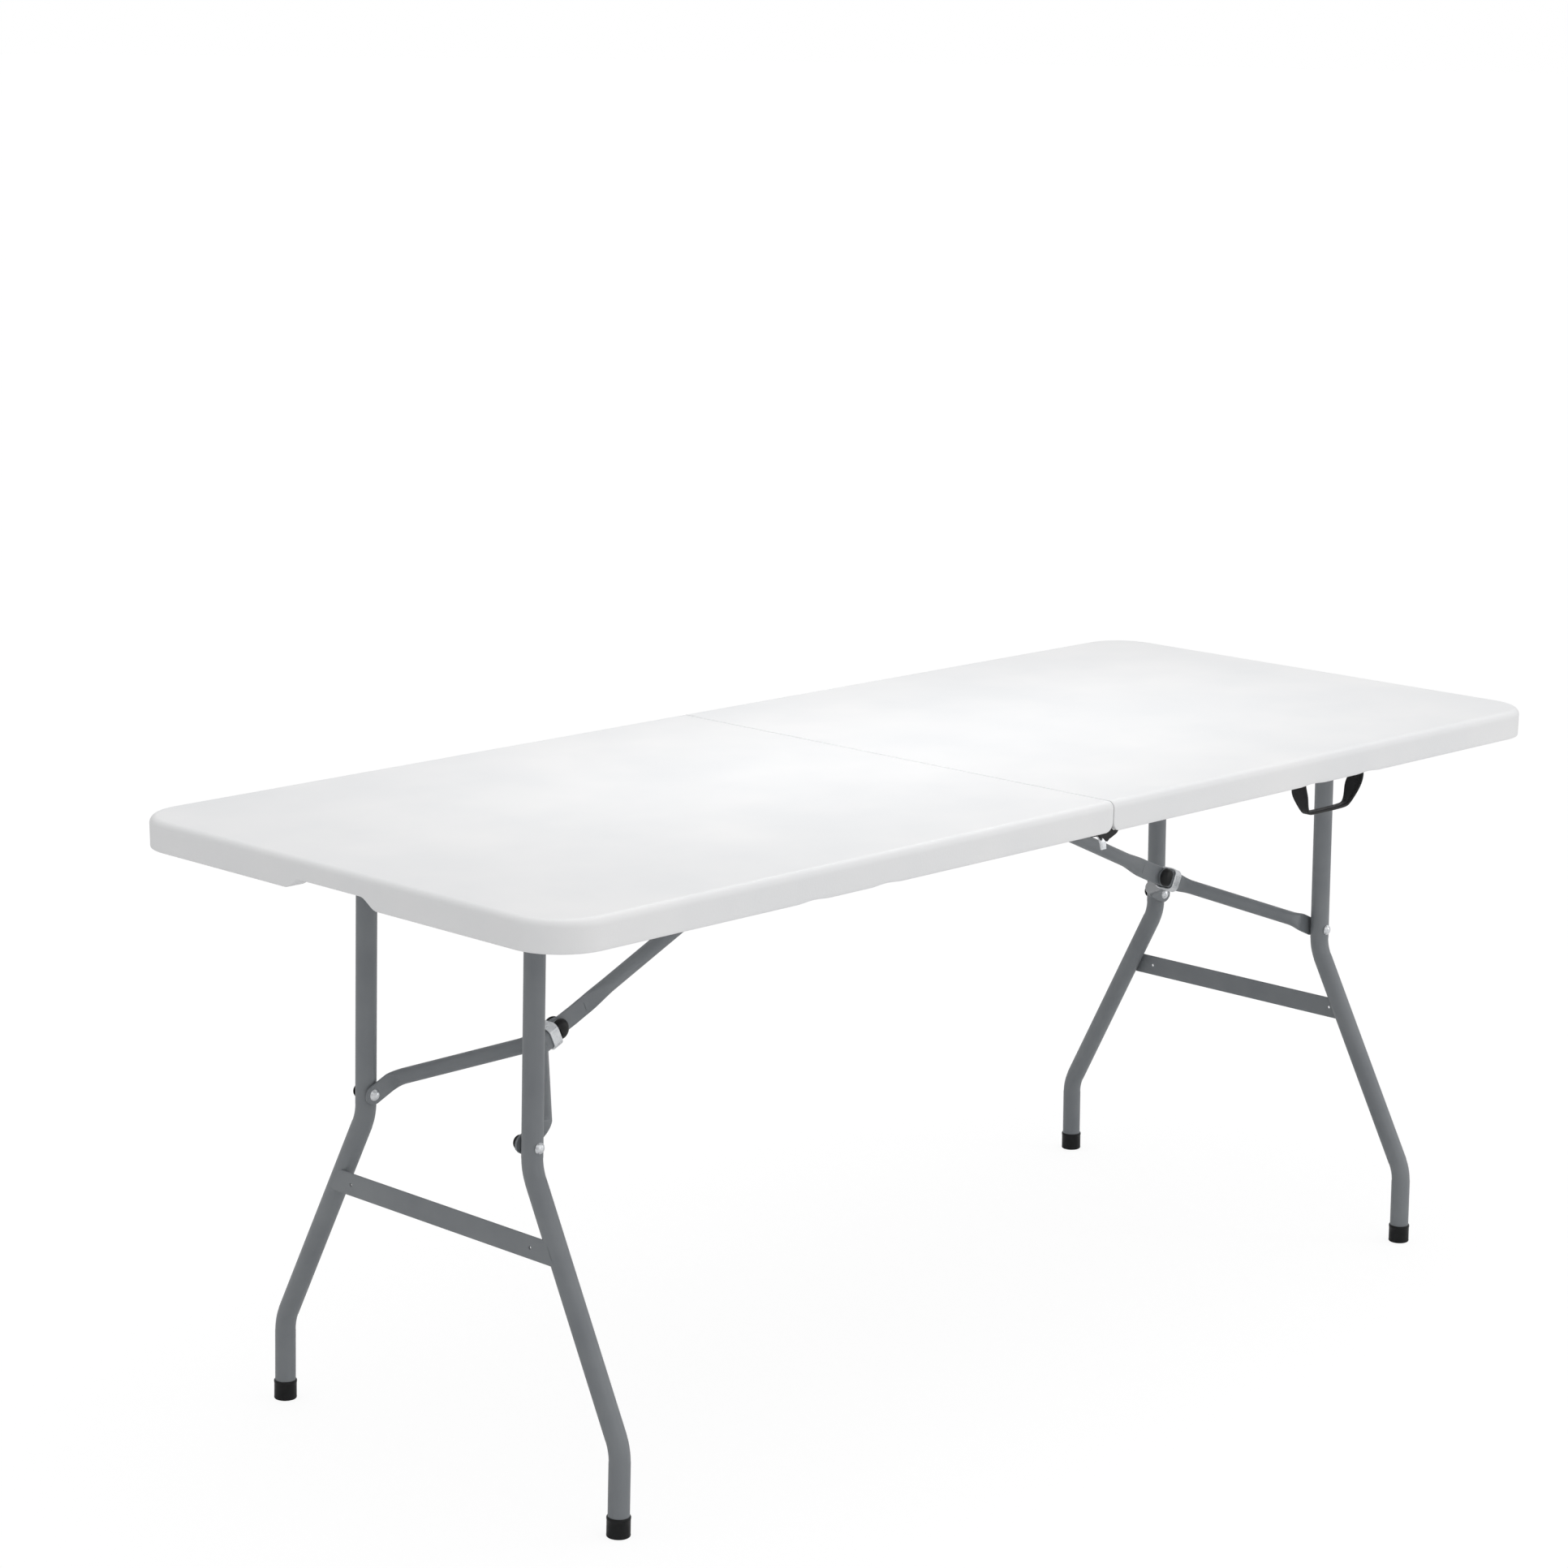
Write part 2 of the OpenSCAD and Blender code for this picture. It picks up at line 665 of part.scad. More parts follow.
// Short cross tube at the inner end of the upper brace
module anchor_tube(side) {
  color(grey) on_side(side) translate([anchor_x, 0, anchor_z]) difference() {
    bar_y(brace_tube_d, 2 * anchor_tube_half, -anchor_tube_half);
    bar_y(brace_tube_d - 2 * tube_wall, 2 * anchor_tube_half + 2, -anchor_tube_half - 1);
  }
}

// Oval section of a squashed brace tube, flat to the XZ plane
module oval_2d(h, t) {
  square([h - t, t], center = true);
  for (end = [-1, 1]) translate([end * (h - t) / 2, 0]) circle(d = t);
}

// Arm from the knuckle to the leg: tongue, oval, round tube and flattened tip
module brace_arm(side, row) {
  run_x = arm_turn_far - oval_end;
  run_y = arm_tip_y + arm_tip_t / 2 - oval_y;
  run_l = sqrt(run_x * run_x + run_y * run_y);
  turn = atan(run_y / run_x);
  color(grey) on_side(side) knuckle_place() on_row(row) difference() {
    union() {
      intersection() {
        bar_y(brace_flat_h, tongue_t, tongue_y);
        translate([-tongue_back, 0, -brace_flat_h])
          cube([tongue_back + oval_start, half_w, 2 * brace_flat_h]);
      }
      translate([0, tongue_y, -brace_flat_h / 2]) cube([oval_start + 1, tongue_t, brace_flat_h]);
      translate([oval_start, oval_y, 0]) rotate([90, 90, 90])
        linear_extrude(height = oval_end - oval_start) oval_2d(brace_flat_h, oval_t);
      hull() {
        translate([oval_end - 1, oval_y, 0]) rotate([90, 90, 90]) linear_extrude(height = 1)
          oval_2d(brace_flat_h, oval_t, $fn = 32);
        translate([oval_end, oval_y, 0]) rotate([0, 0, turn]) bar_x(brace_tube_d, 1, arm_lead, $fn = 32);
      }
      translate([oval_end, oval_y, 0]) rotate([0, 0, turn]) 
        bar_x(brace_tube_d, run_l - arm_lead - arm_press + 1, arm_lead);
      hull() {
        translate([oval_end, oval_y, 0]) rotate([0, 0, turn]) 
          bar_x(brace_tube_d, 1, run_l - arm_press, $fn = 32);
        translate([arm_turn_far, arm_tip_y, -brace_flat_h / 2]) cube([1, arm_tip_t, brace_flat_h]);
      }
      translate([arm_turn_far, arm_tip_y, -brace_flat_h / 2])
        cube([arm_l - arm_turn_far, arm_tip_t, brace_flat_h]);
      translate([arm_l, 0, 0]) bar_y(brace_flat_h, arm_tip_t, arm_tip_y);
    }
    bar_y(bolt_d + facet_fit, tongue_t + 2, tongue_y - 1);
    translate([arm_l, 0, 0]) bar_y(bolt_d + facet_fit, arm_tip_t + 2, arm_tip_y - 1);
  }
}

module knuckle_rivet(side) {
  end_y = tongue_y + tongue_t;
  color(zinc) on_side(side) knuckle_place() union() {
    bar_y(bolt_d, 2 * end_y, -end_y);
    both_rows() bar_y(rivet_head_d, rivet_head_t, end_y);
  }
}

// Domed covers over the rivet, cut straight beside the ring
module knuckle_caps(side) {
  end_y = tongue_y + tongue_t;
  color(black) on_side(side) knuckle_place() both_rows() difference() {
    intersection() {
      translate([0, end_y, 0]) dome(cap_d, cap_t);
      translate([-cap_d, 0, -cap_d]) cube([cap_d + cap_side, half_w, 2 * cap_d]);
    }
    bar_y(rivet_head_d, rivet_head_t, end_y);
  }
}

module brace_cap_nut(side) {
  color(black) on_side(side) knuckle_place()
    translate([arm_l, -arm_tip_y, 0]) capped_bar(cap_nut_d, cap_nut_t, cap_nut_r);
}

module brace_bolt_head(side) {
  color(zinc) on_side(side) knuckle_place()
    translate([arm_l, arm_tip_y, 0]) mirror([0, 1, 0]) dome(bolt_head_d, bolt_head_t);
}

// Square ring with rounded corners that slides over the knuckle
module lock_ring(side) {
  outer = ring_bore + 2 * ring_wall;
  color(zinc) on_side(side) knuckle_place() translate([ring_start, 0, 0]) rotate([90, 0, 90])
    linear_extrude(height = ring_l) difference() {
      round_square(outer, ring_outer_r);
      round_square(ring_bore, ring_inner_r);
    }
}

module round_square(size, r) {
  square([size, size - 2 * r], center = true);
  square([size - 2 * r, size], center = true);
  for (x = [-1, 1], y = [-1, 1]) translate([x, y] * (size / 2 - r)) circle(r = r);
}

// One level of a handle arm, from handle_levels
module handle_level(end, level) {
  translate([end * (handle_span / 2 - level[2]) - handle_t / 2, -level[1] / 2, -level[0]])
    cube([handle_t, level[1], 1]);
}

// Moulded strap handle: two wide arms that narrow into a grip
module handle() {
  low = handle_grip_l / 2;
  color(black) translate([handle_x, handle_y, handle_pivot_z]) difference() {
    union() {
      for (end = [-1, 1]) {
        translate([end * handle_span / 2, 0, 0]) bar_x(handle_eye_d, handle_t, -handle_t / 2);
        for (i = [0, 1]) hull() {
          handle_level(end, handle_levels[i]);
          handle_level(end, handle_levels[i + 1]);
        }
        hull() {
          handle_level(end, handle_levels[2]);
          translate([end * low, 0, -handle_drop]) bar_y(handle_grip_t, handle_grip_w, -handle_grip_w / 2);
        }
      }
      hull() for (end = [-1, 1])
        translate([end * low, 0, -handle_drop]) bar_y(handle_grip_t, handle_grip_w, -handle_grip_w / 2);
    }
    bar_x(handle_pin_d + slide_fit, 2 * handle_span, -handle_span);
  }
}

// Ears that hang from the rail on both sides of each handle eye
module handle_brackets() {
  color(grey) for (end = [-1, 1])
    translate([handle_x + end * handle_span / 2, handle_y, 0]) difference() {
      for (face = [-1, 1])
        translate([face * (handle_t / 2 + ear_gap + ear_t / 2) - ear_t / 2, 0, handle_pivot_z]) union() {
          translate([0, -ear_end_d / 2, 0])
            cube([ear_t, ear_end_d / 2 + ear_back, rail_z - handle_pivot_z]);
          bar_x(ear_end_d, ear_t);
        }
      translate([0, 0, handle_pivot_z])
        bar_x(handle_pin_d, handle_t + 4 * ear_t, -handle_t / 2 - 2 * ear_t);
    }
}

module handle_pins() {
  pin_l = handle_t + 2 * ear_gap + 2 * ear_t;
  color(zinc) for (end = [-1, 1])
    translate([handle_x + end * handle_span / 2, handle_y, handle_pivot_z])
      bar_x(handle_pin_d, pin_l, -pin_l / 2);
}

// Flat lever that hooks the two leaves together; its tip hangs below the rim
module lock_lever(row) {
  dx = lever_tip_x - lever_pivot_x;
  dz = lever_tip_z - lever_pivot_z;
  reach = sqrt(dx * dx + dz * dz);
  color(zinc) on_row(row) translate([lever_pivot_x, lever_y, lever_pivot_z])
    rotate([0, atan(-dz / dx), 0]) difference() {
      union() {
        bar_y(lever_w, lever_t);
        translate([0, 0, -lever_w / 2]) cube([reach, lever_t, lever_w]);
      }
      bar_y(lever_pin_d + slide_fit, lever_t + 2, -1);
    }
}

module lock_lever_pins() {
  color(zinc) both_rows() translate([lever_pivot_x, 0, lever_pivot_z]) union() {
    bar_y(lever_pin_d, lever_y + lever_t - left_leaf_y - leaf_t, left_leaf_y + leaf_t);
    bar_y(lever_pin_d + 3, 1.2, lever_y + lever_t);
  }
}

top_panel(LEFT);  // left_top_panel
top_panel(RIGHT);  // right_top_panel
side_rails(LEFT);  // left_side_rails
side_rails(RIGHT);  // right_side_rails
deck_screws(LEFT);  // left_deck_screws
deck_screws(RIGHT);  // right_deck_screws
pivot_brackets(LEFT);  // left_pivot_brackets
pivot_brackets(RIGHT);  // right_pivot_brackets
brace_saddles(LEFT);  // left_brace_saddles
brace_saddles(RIGHT);  // right_brace_saddles
leaf_node(LEFT, FRONT);  // left_front_hinge_leaf
leaf_node(LEFT, BACK);  // left_back_hinge_leaf
leaf_node(RIGHT, FRONT);  // right_front_hinge_leaf
leaf_node(RIGHT, BACK);  // right_back_hinge_leaf
leaf_bolts(LEFT);  // left_leaf_bolts
leaf_bolts(RIGHT);  // right_leaf_bolts
centre_hinge_pins();
pivot_tube(LEFT);  // left_pivot_tube
pivot_tube(RIGHT);  // right_pivot_tube
pivot_bushes(LEFT);  // left_pivot_bushes
pivot_bushes(RIGHT);  // right_pivot_bushes
leg_tube(LEFT, FRONT);  // left_front_leg_tube
leg_tube(LEFT, BACK);  // left_back_leg_tube
leg_tube(RIGHT, FRONT);  // right_front_leg_tube
leg_tube(RIGHT, BACK);  // right_back_leg_tube
crossbar(LEFT);  // left_crossbar
crossbar(RIGHT);  // right_crossbar
foot_caps(LEFT);  // left_foot_caps
foot_caps(RIGHT);  // right_foot_caps
leg_bolts(LEFT);  // left_leg_bolts
leg_bolts(RIGHT);  // right_leg_bolts
leg_cap_nut(LEFT);  // left_leg_cap_nut
leg_cap_nut(RIGHT);  // right_leg_cap_nut
upper_brace(LEFT);  // left_upper_brace
upper_brace(RIGHT);  // right_upper_brace
anchor_tube(LEFT);  // left_anchor_tube
anchor_tube(RIGHT);  // right_anchor_tube
brace_arm(LEFT, FRONT);  // left_front_brace_arm
brace_arm(LEFT, BACK);  // left_back_brace_arm
brace_arm(RIGHT, FRONT);  // right_front_brace_arm
brace_arm(RIGHT, BACK);  // right_back_brace_arm
knuckle_rivet(LEFT);  // left_knuckle_rivet
knuckle_rivet(RIGHT);  // right_knuckle_rivet
knuckle_caps(LEFT);  // left_knuckle_caps
knuckle_caps(RIGHT);  // right_knuckle_caps
brace_cap_nut(LEFT);  // left_brace_cap_nut
brace_cap_nut(RIGHT);  // right_brace_cap_nut
brace_bolt_head(LEFT);  // left_brace_bolt_head
brace_bolt_head(RIGHT);  // right_brace_bolt_head
lock_ring(LEFT);  // left_lock_ring
lock_ring(RIGHT);  // right_lock_ring
handle();
handle_brackets();
handle_pins();
lock_lever(FRONT);  // front_lock_lever
lock_lever(BACK);  // back_lock_lever
lock_lever_pins();
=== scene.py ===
"""Folding picnic table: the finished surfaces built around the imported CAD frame."""

import logging
from dataclasses import dataclass, field
from enum import Enum
from math import atan, atan2, cos, pi, radians, sin, sqrt, tan
from typing import Iterable, Sequence

import bmesh
import bpy
from mathutils import Matrix, Vector
from mathutils.geometry import tessellate_polygon


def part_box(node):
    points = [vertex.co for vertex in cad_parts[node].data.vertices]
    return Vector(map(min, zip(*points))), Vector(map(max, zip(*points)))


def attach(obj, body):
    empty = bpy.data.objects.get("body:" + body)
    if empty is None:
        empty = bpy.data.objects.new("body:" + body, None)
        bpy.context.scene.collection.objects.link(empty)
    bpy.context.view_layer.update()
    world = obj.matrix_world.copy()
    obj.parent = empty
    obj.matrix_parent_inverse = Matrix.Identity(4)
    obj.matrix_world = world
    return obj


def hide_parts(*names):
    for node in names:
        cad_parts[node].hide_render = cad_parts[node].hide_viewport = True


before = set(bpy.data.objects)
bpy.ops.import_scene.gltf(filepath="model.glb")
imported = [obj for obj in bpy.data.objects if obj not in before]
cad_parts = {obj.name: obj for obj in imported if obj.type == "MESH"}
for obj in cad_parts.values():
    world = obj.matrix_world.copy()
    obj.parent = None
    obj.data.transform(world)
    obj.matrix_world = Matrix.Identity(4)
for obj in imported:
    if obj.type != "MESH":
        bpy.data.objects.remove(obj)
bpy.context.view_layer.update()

LOG = logging.getLogger("picnic_table")
MM = 0.001
FULL_TURN = 2 * pi
X_AXIS, Y_AXIS, Z_AXIS = Matrix.Identity(3)
SHARP_ANGLE = radians(32)
MERGE_DISTANCE = 1e-7

Point = tuple[float, float, float]
Ring = list[Point]


class Side(Enum):
    """Which half of the table a piece belongs to."""

    LEFT = -1
    RIGHT = 1

    @property
    def word(self) -> str:
        """The side's name as node names spell it."""
        return self.name.lower()


class Row(Enum):
    """Which long edge of the table a piece is beside."""

    FRONT = -1
    BACK = 1

    @property
    def word(self) -> str:
        """The row's name as node names spell it."""
        return self.name.lower()


class Slot(Enum):
    """The record's material slots."""

    WHITE = "white_polyethylene"
    GREY = "grey_powder_coat"
    BLACK = "black_plastic"
    ZINC = "zinc_plated_steel"


# ---------------------------------------------------------------- finishes


def linear(hex_colour: str) -> tuple[float, float, float, float]:
    """Turns an sRGB hex colour into linear RGBA.

    Args:
        hex_colour: Six hex digits, such as "F4F5F6".

    Returns:
        The linear colour with full opacity.
    """
    parts = [int(hex_colour[i : i + 2], 16) / 255 for i in (0, 2, 4)]
    r, g, b = [c / 12.92 if c <= 0.04045 else ((c + 0.055) / 1.055) ** 2.4 for c in parts]
    return (r, g, b, 1.0)


def add_node(
    tree: bpy.types.NodeTree,
    kind: str,
    settings: dict[str, object] | None = None,
    values: dict[str | int, object] | None = None,
    links: dict[str | int, bpy.types.NodeSocket] | None = None,
) -> bpy.types.Node:
    """Adds one node to a tree with its settings and links.

    Args:
        tree: The node tree to add to.
        kind: The node's type name.
        settings: Node properties by name.
        values: Constant input values by input name or number.
        links: Output sockets to join to inputs, by input name or number.

    Returns:
        The new node.
    """
    node = tree.nodes.new(kind)
    for key, value in (settings or {}).items():
        setattr(node, key, value)
    for key, value in (values or {}).items():
        node.inputs[key].default_value = value
    for key, socket in (links or {}).items():
        tree.links.new(socket, node.inputs[key])
    return node


def set_ramp(node: bpy.types.Node, stops: Sequence[tuple[float, tuple[float, ...]]]) -> None:
    """Places the stops of a colour ramp node.

    Args:
        node: The colour ramp node.
        stops: Position and linear RGBA colour of each stop, in order.
    """
    elements = node.color_ramp.elements
    while len(elements) < len(stops):
        elements.new(1.0)
    for element, (place, colour) in zip(elements, stops):
        element.position = place
        element.color = colour


def per_metre(size_mm: float) -> float:
    """The noise scale whose features are about size_mm across, in coordinates of metres."""
    return 1 / (size_mm * MM)


@dataclass(frozen=True)
class Finish:
    """A surface finish: what it is made of and how it was made."""

    name: str
    slot: Slot
    low_hex: str
    high_hex: str
    roughness_low: float
    roughness_high: float
    grain_mm: float
    grain_height_mm: float
    blotch_mm: float
    wave_mm: float = 0.0
    wave_height_mm: float = 0.0
    ior: float | None = None
    specular: float = 0.5
    metallic: float = 0.0
    coat: float = 0.0
    stretch: tuple[float, float, float] = (1.0, 1.0, 1.0)
    pitted: bool = False

    def build(self) -> bpy.types.Material:
        """Makes the procedural material.

        Returns:
            The new material.
        """
        material = bpy.data.materials.new(self.name)
        material.use_nodes = True
        tree = material.node_tree
        tree.nodes.clear()
        place = add_node(tree, "ShaderNodeTexCoord")
        spread = add_node(
            tree,
            "ShaderNodeMapping",
            values={"Scale": self.stretch},
            links={"Vector": place.outputs["Object"]},
        )
        where = spread.outputs["Vector"]
        blotch = add_node(
            tree,
            "ShaderNodeTexNoise",
            values={"Scale": per_metre(self.blotch_mm), "Detail": 3.0, "Roughness": 0.55},
            links={"Vector": where},
        )
        colour = add_node(tree, "ShaderNodeValToRGB", links={"Fac": blotch.outputs["Fac"]})
        set_ramp(colour, [(0.3, linear(self.low_hex)), (0.7, linear(self.high_hex))])
        grain = self.grain(tree, where)
        rough = add_node(
            tree,
            "ShaderNodeMapRange",
            values={"To Min": self.roughness_low, "To Max": self.roughness_high},
            links={"Value": blotch.outputs["Fac"]},
        )
        normal = add_node(
            tree,
            "ShaderNodeBump",
            values={"Strength": 1.0, "Distance": self.grain_height_mm * MM},
            links={"Height": grain},
        ).outputs["Normal"]
        if self.wave_mm:
            wave = add_node(
                tree,
                "ShaderNodeTexNoise",
                values={"Scale": per_metre(self.wave_mm), "Detail": 1.0},
                links={"Vector": where},
            )
            normal = add_node(
                tree,
                "ShaderNodeBump",
                values={"Strength": 1.0, "Distance": self.wave_height_mm * MM},
                links={"Height": wave.outputs["Fac"], "Normal": normal},
            ).outputs["Normal"]
        shader = add_node(
            tree,
            "ShaderNodeBsdfPrincipled",
            values={
                "Metallic": self.metallic,
                "Coat Weight": self.coat,
                "Specular IOR Level": self.specular,
            },
            links={
                "Base Color": colour.outputs["Color"],
                "Roughness": rough.outputs["Result"],
                "Normal": normal,
            },
        )
        if self.ior is not None:
            shader.inputs["IOR"].default_value = self.ior
        add_node(tree, "ShaderNodeOutputMaterial", links={"Surface": shader.outputs["BSDF"]})
        return material

    def grain(self, tree: bpy.types.NodeTree, where: bpy.types.NodeSocket) -> bpy.types.NodeSocket:
        """Adds the fine relief of the surface.

        Args:
            tree: The material's tree.
            where: The coordinates of the surface.

        Returns:
            The height of the relief, from 0 to 1.
        """
        if self.pitted:
            cells = add_node(
                tree,
                "ShaderNodeTexVoronoi",
                settings={"feature": "SMOOTH_F1"},
                values={"Scale": per_metre(self.grain_mm), "Smoothness": 0.6},
                links={"Vector": where},
            )
            return cells.outputs["Distance"]
        noise = add_node(
            tree,
            "ShaderNodeTexNoise",
            values={"Scale": per_metre(self.grain_mm), "Detail": 2.0},
            links={"Vector": where},
        )
        return noise.outputs["Fac"]


# High-density polyethylene, blow moulded against a stippled mould: a soft satin white
# with a pebbled skin that breaks reflections up. The pebble is 0.8 mm in the real
# mould and drawn at 2.4 mm so that it shows.
WHITE_HDPE = Finish(
    name="blow_moulded_polyethylene",
    slot=Slot.WHITE,
    low_hex="F0F1F2",
    high_hex="F6F6F6",
    roughness_low=0.36,
    roughness_high=0.46,
    grain_mm=2.4,
    grain_height_mm=0.05,
    blotch_mm=160,
    wave_mm=90,
    wave_height_mm=0.35,
    ior=1.54,
    pitted=True,
)

# Polyester powder coat, sprayed and baked on steel tube: an even satin grey with the
# slight orange peel of the baked film. The peel is 1 mm and drawn at 2 mm.
GREY_POWDER = Finish(
    name="baked_powder_coat",
    slot=Slot.GREY,
    low_hex="7A7E82",
    high_hex="84888B",
    roughness_low=0.36,
    roughness_high=0.46,
    grain_mm=2.0,
    grain_height_mm=0.03,
    blotch_mm=70,
    ior=1.5,
    coat=0.1,
)

# Low-density polyethylene, injection moulded: nearly black, with a fine spark-eroded
# grain that dulls it. The grain is 0.3 mm and drawn at 1.2 mm.
BLACK_PE = Finish(
    name="moulded_black_polyethylene",
    slot=Slot.BLACK,
    low_hex="0D0E0F",
    high_hex="131416",
    roughness_low=0.3,
    roughness_high=0.4,
    specular=0.3,
    grain_mm=1.2,
    grain_height_mm=0.04,
    blotch_mm=20,
    ior=1.51,
)

# Mild steel, zinc electroplated: a pale bluish metal whose small crystals spangle it.
BRIGHT_ZINC = Finish(
    name="electroplated_zinc",
    slot=Slot.ZINC,
    low_hex="DEE1E4",
    high_hex="F2F4F6",
    roughness_low=0.22,
    roughness_high=0.36,
    grain_mm=1.5,
    grain_height_mm=0.01,
    blotch_mm=6,
    metallic=1.0,
)

FINISHES = (WHITE_HDPE, GREY_POWDER, BLACK_PE, BRIGHT_ZINC)


class Paintshop:
    """Makes each finish once and hands it out by slot."""

    def __init__(self) -> None:
        """Builds all four materials."""
        self.materials = {finish.slot: finish.build() for finish in FINISHES}

    def dress(self, obj: bpy.types.Object, slot: Slot) -> None:
        """Gives an object the material of a slot.

        Args:
            obj: The object to dress.
            slot: The finish's slot.
        """
        obj.data.materials.clear()
        obj.data.materials.append(self.materials[slot])


# ---------------------------------------------------------------- mesh making


def ellipse_ring(
    centre: Point, across: Vector, up: Vector, half_a: float, half_b: float, sides: int
) -> Ring:
    """A closed ring of points on an ellipse.

    Args:
        centre: The ring's middle.
        across: Unit direction of the first half axis.
        up: Unit direction of the second half axis.
        half_a: Half axis along across.
        half_b: Half axis along up.
        sides: Number of points.

    Returns:
        The ring's points.
    """
    ring = []
    for i in range(sides):
        a = FULL_TURN * i / sides
        p = Vector(centre) + across * (half_a * cos(a)) + up * (half_b * sin(a))
        ring.append(tuple(p))
    return ring


def stadium_ring(
    centre: Point,
    across: Vector,
    up: Vector,
    half_a: float,
    half_b: float,
    corner: float,
    sides: int,
) -> Ring:
    """A closed ring shaped as a rectangle with rounded corners.

    Args:
        centre: The ring's middle.
        across: Unit direction of the first half axis.
        up: Unit direction of the second half axis.
        half_a: Half size along across.
        half_b: Half size along up.
        corner: Corner radius.
        sides: Number of points, a multiple of four.

    Returns:
        The ring's points.
    """
    r = min(corner, half_a, half_b)
    per = sides // 4
    ring = []
    for quarter in range(4):
        sign_a = 1 if quarter in (0, 3) else -1
        sign_b = 1 if quarter in (0, 1) else -1
        for i in range(per):
            angle = pi / 2 * quarter + pi / 2 * i / (per - 1)
            p = (
                Vector(centre)
                + across * (sign_a * (half_a - r) + r * cos(angle))
                + up * (sign_b * (half_b - r) + r * sin(angle))
            )
            ring.append(tuple(p))
    return ring


def smooth_step(t: float) -> float:
    """An S-curve from 0 to 1 that is level at both ends."""
    t = min(1.0, max(0.0, t))
    return t * t * (3 - 2 * t)


def blend(a: float, b: float, t: float) -> float:
    """The value a share t of the way from a to b."""
    return a + (b - a) * t


class MeshMaker:
    """Collects faces in millimetres and turns them into one object in metres."""

    def __init__(self) -> None:
        """Starts an empty mesh."""
        self.bm = bmesh.new()

    def loft(
        self,
        rings: Sequence[Ring],
        place: Matrix | None = None,
        start: bool = True,
        end: bool = True,
        around: bool = False,
    ) -> None:
        """Skins a row of rings that have equal numbers of points.

        Args:
            rings: The rings, in order.
            place: Where the rings go.
            start: Whether to close the first ring.
            end: Whether to close the last ring.
            around: Whether the last ring joins the first.
        """
        at = place or Matrix.Identity(4)
        rows = [[self.bm.verts.new(at @ Vector(p)) for p in ring] for ring in rings]
        if around:
            rows.append(rows[0])
        n = len(rows[0])
        for low, high in zip(rows, rows[1:]):
            for i in range(n):
                j = (i + 1) % n
                self.bm.faces.new((low[i], low[j], high[j], high[i]))
        if start and not around:
            self.bm.faces.new(list(reversed(rows[0])))
        if end and not around:
            self.bm.faces.new(rows[-1])

    def lathe(self, profile: Sequence[tuple[float, float]], place: Matrix, sides: int = 48) -> None:
        """Turns a profile around the local Z axis.

        Args:
            profile: Radius and height of each ring.
            place: Where the turned shape goes.
            sides: Number of points around.
        """
        rings = [ellipse_ring((0, 0, h), X_AXIS, Y_AXIS, r, r, sides) for r, h in profile]
        self.loft(rings, place)

    def piece(
        self,
        name: str,
        side: Side = Side.RIGHT,
        sharp: float = SHARP_ANGLE,
    ) -> bpy.types.Object:
        """Finishes the mesh as an object.

        Args:
            name: The piece's name.
            side: LEFT mirrors the mesh in X.
            sharp: The edge angle above which shading breaks.

        Returns:
            The object, linked to the scene.
        """
        if side is Side.LEFT:
            bmesh.ops.scale(self.bm, vec=(-1, 1, 1), verts=self.bm.verts)
        bmesh.ops.scale(self.bm, vec=(MM, MM, MM), verts=self.bm.verts)
        bmesh.ops.remove_doubles(self.bm, verts=self.bm.verts, dist=MERGE_DISTANCE)
        bmesh.ops.dissolve_degenerate(self.bm, dist=MERGE_DISTANCE, edges=self.bm.edges)
        bmesh.ops.recalc_face_normals(self.bm, faces=self.bm.faces)
        mesh = bpy.data.meshes.new(name)
        self.bm.to_mesh(mesh)
        self.bm.free()
        mesh.shade_smooth()
        mesh.set_sharp_from_angle(angle=sharp)
        obj = bpy.data.objects.new(name, mesh)
        bpy.context.scene.collection.objects.link(obj)
        return obj


def cut(
    obj: bpy.types.Object, cutters: Iterable[bpy.types.Object], sharp: float = SHARP_ANGLE
) -> None:
    """Cuts other objects out of a piece, applies the cuts and removes the cutters.

    Args:
        obj: The piece.
        cutters: Objects to take away from it.
        sharp: The edge angle above which shading breaks.
    """
    cutters = list(cutters)
    for cutter in cutters:
        mod = obj.modifiers.new("cut", "BOOLEAN")
        mod.operation = "DIFFERENCE"
        mod.solver = "EXACT"
        mod.object = cutter
    graph = bpy.context.evaluated_depsgraph_get()
    mesh = bpy.data.meshes.new_from_object(obj.evaluated_get(graph))
    obj.modifiers.clear()
    old = obj.data
    obj.data = mesh
    mesh.name = old.name
    bpy.data.meshes.remove(old)
    for cutter in cutters:
        bpy.data.objects.remove(cutter)
    mesh.shade_smooth()
    mesh.set_sharp_from_angle(angle=sharp)


def box_rings(low: Point, high: Point) -> list[Ring]:
    """The two rings of a box between its lowest and highest corners."""
    return [
        [(low[0], low[1], z), (high[0], low[1], z), (high[0], high[1], z), (low[0], high[1], z)]
        for z in (low[2], high[2])
    ]


@dataclass
class SubAssembly:
    """What every sub-assembly has: its paint, and the names of what it has built."""

    paint: Paintshop
    built: list[str] = field(default_factory=list)

    def place(self, obj: bpy.types.Object, body: str, slot: Slot, *nodes: str) -> None:
        """Dresses a new piece, sets it on its body and hides the CAD nodes it stands for.

        Args:
            obj: The piece.
            body: The CAD body it rides on.
            slot: Its material slot.
            *nodes: The CAD nodes that it replaces.
        """
        self.paint.dress(obj, slot)
        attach(obj, body)
        if nodes:
            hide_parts(*nodes)
        self.built.append(obj.name)


# ---------------------------------------------------------------- the top


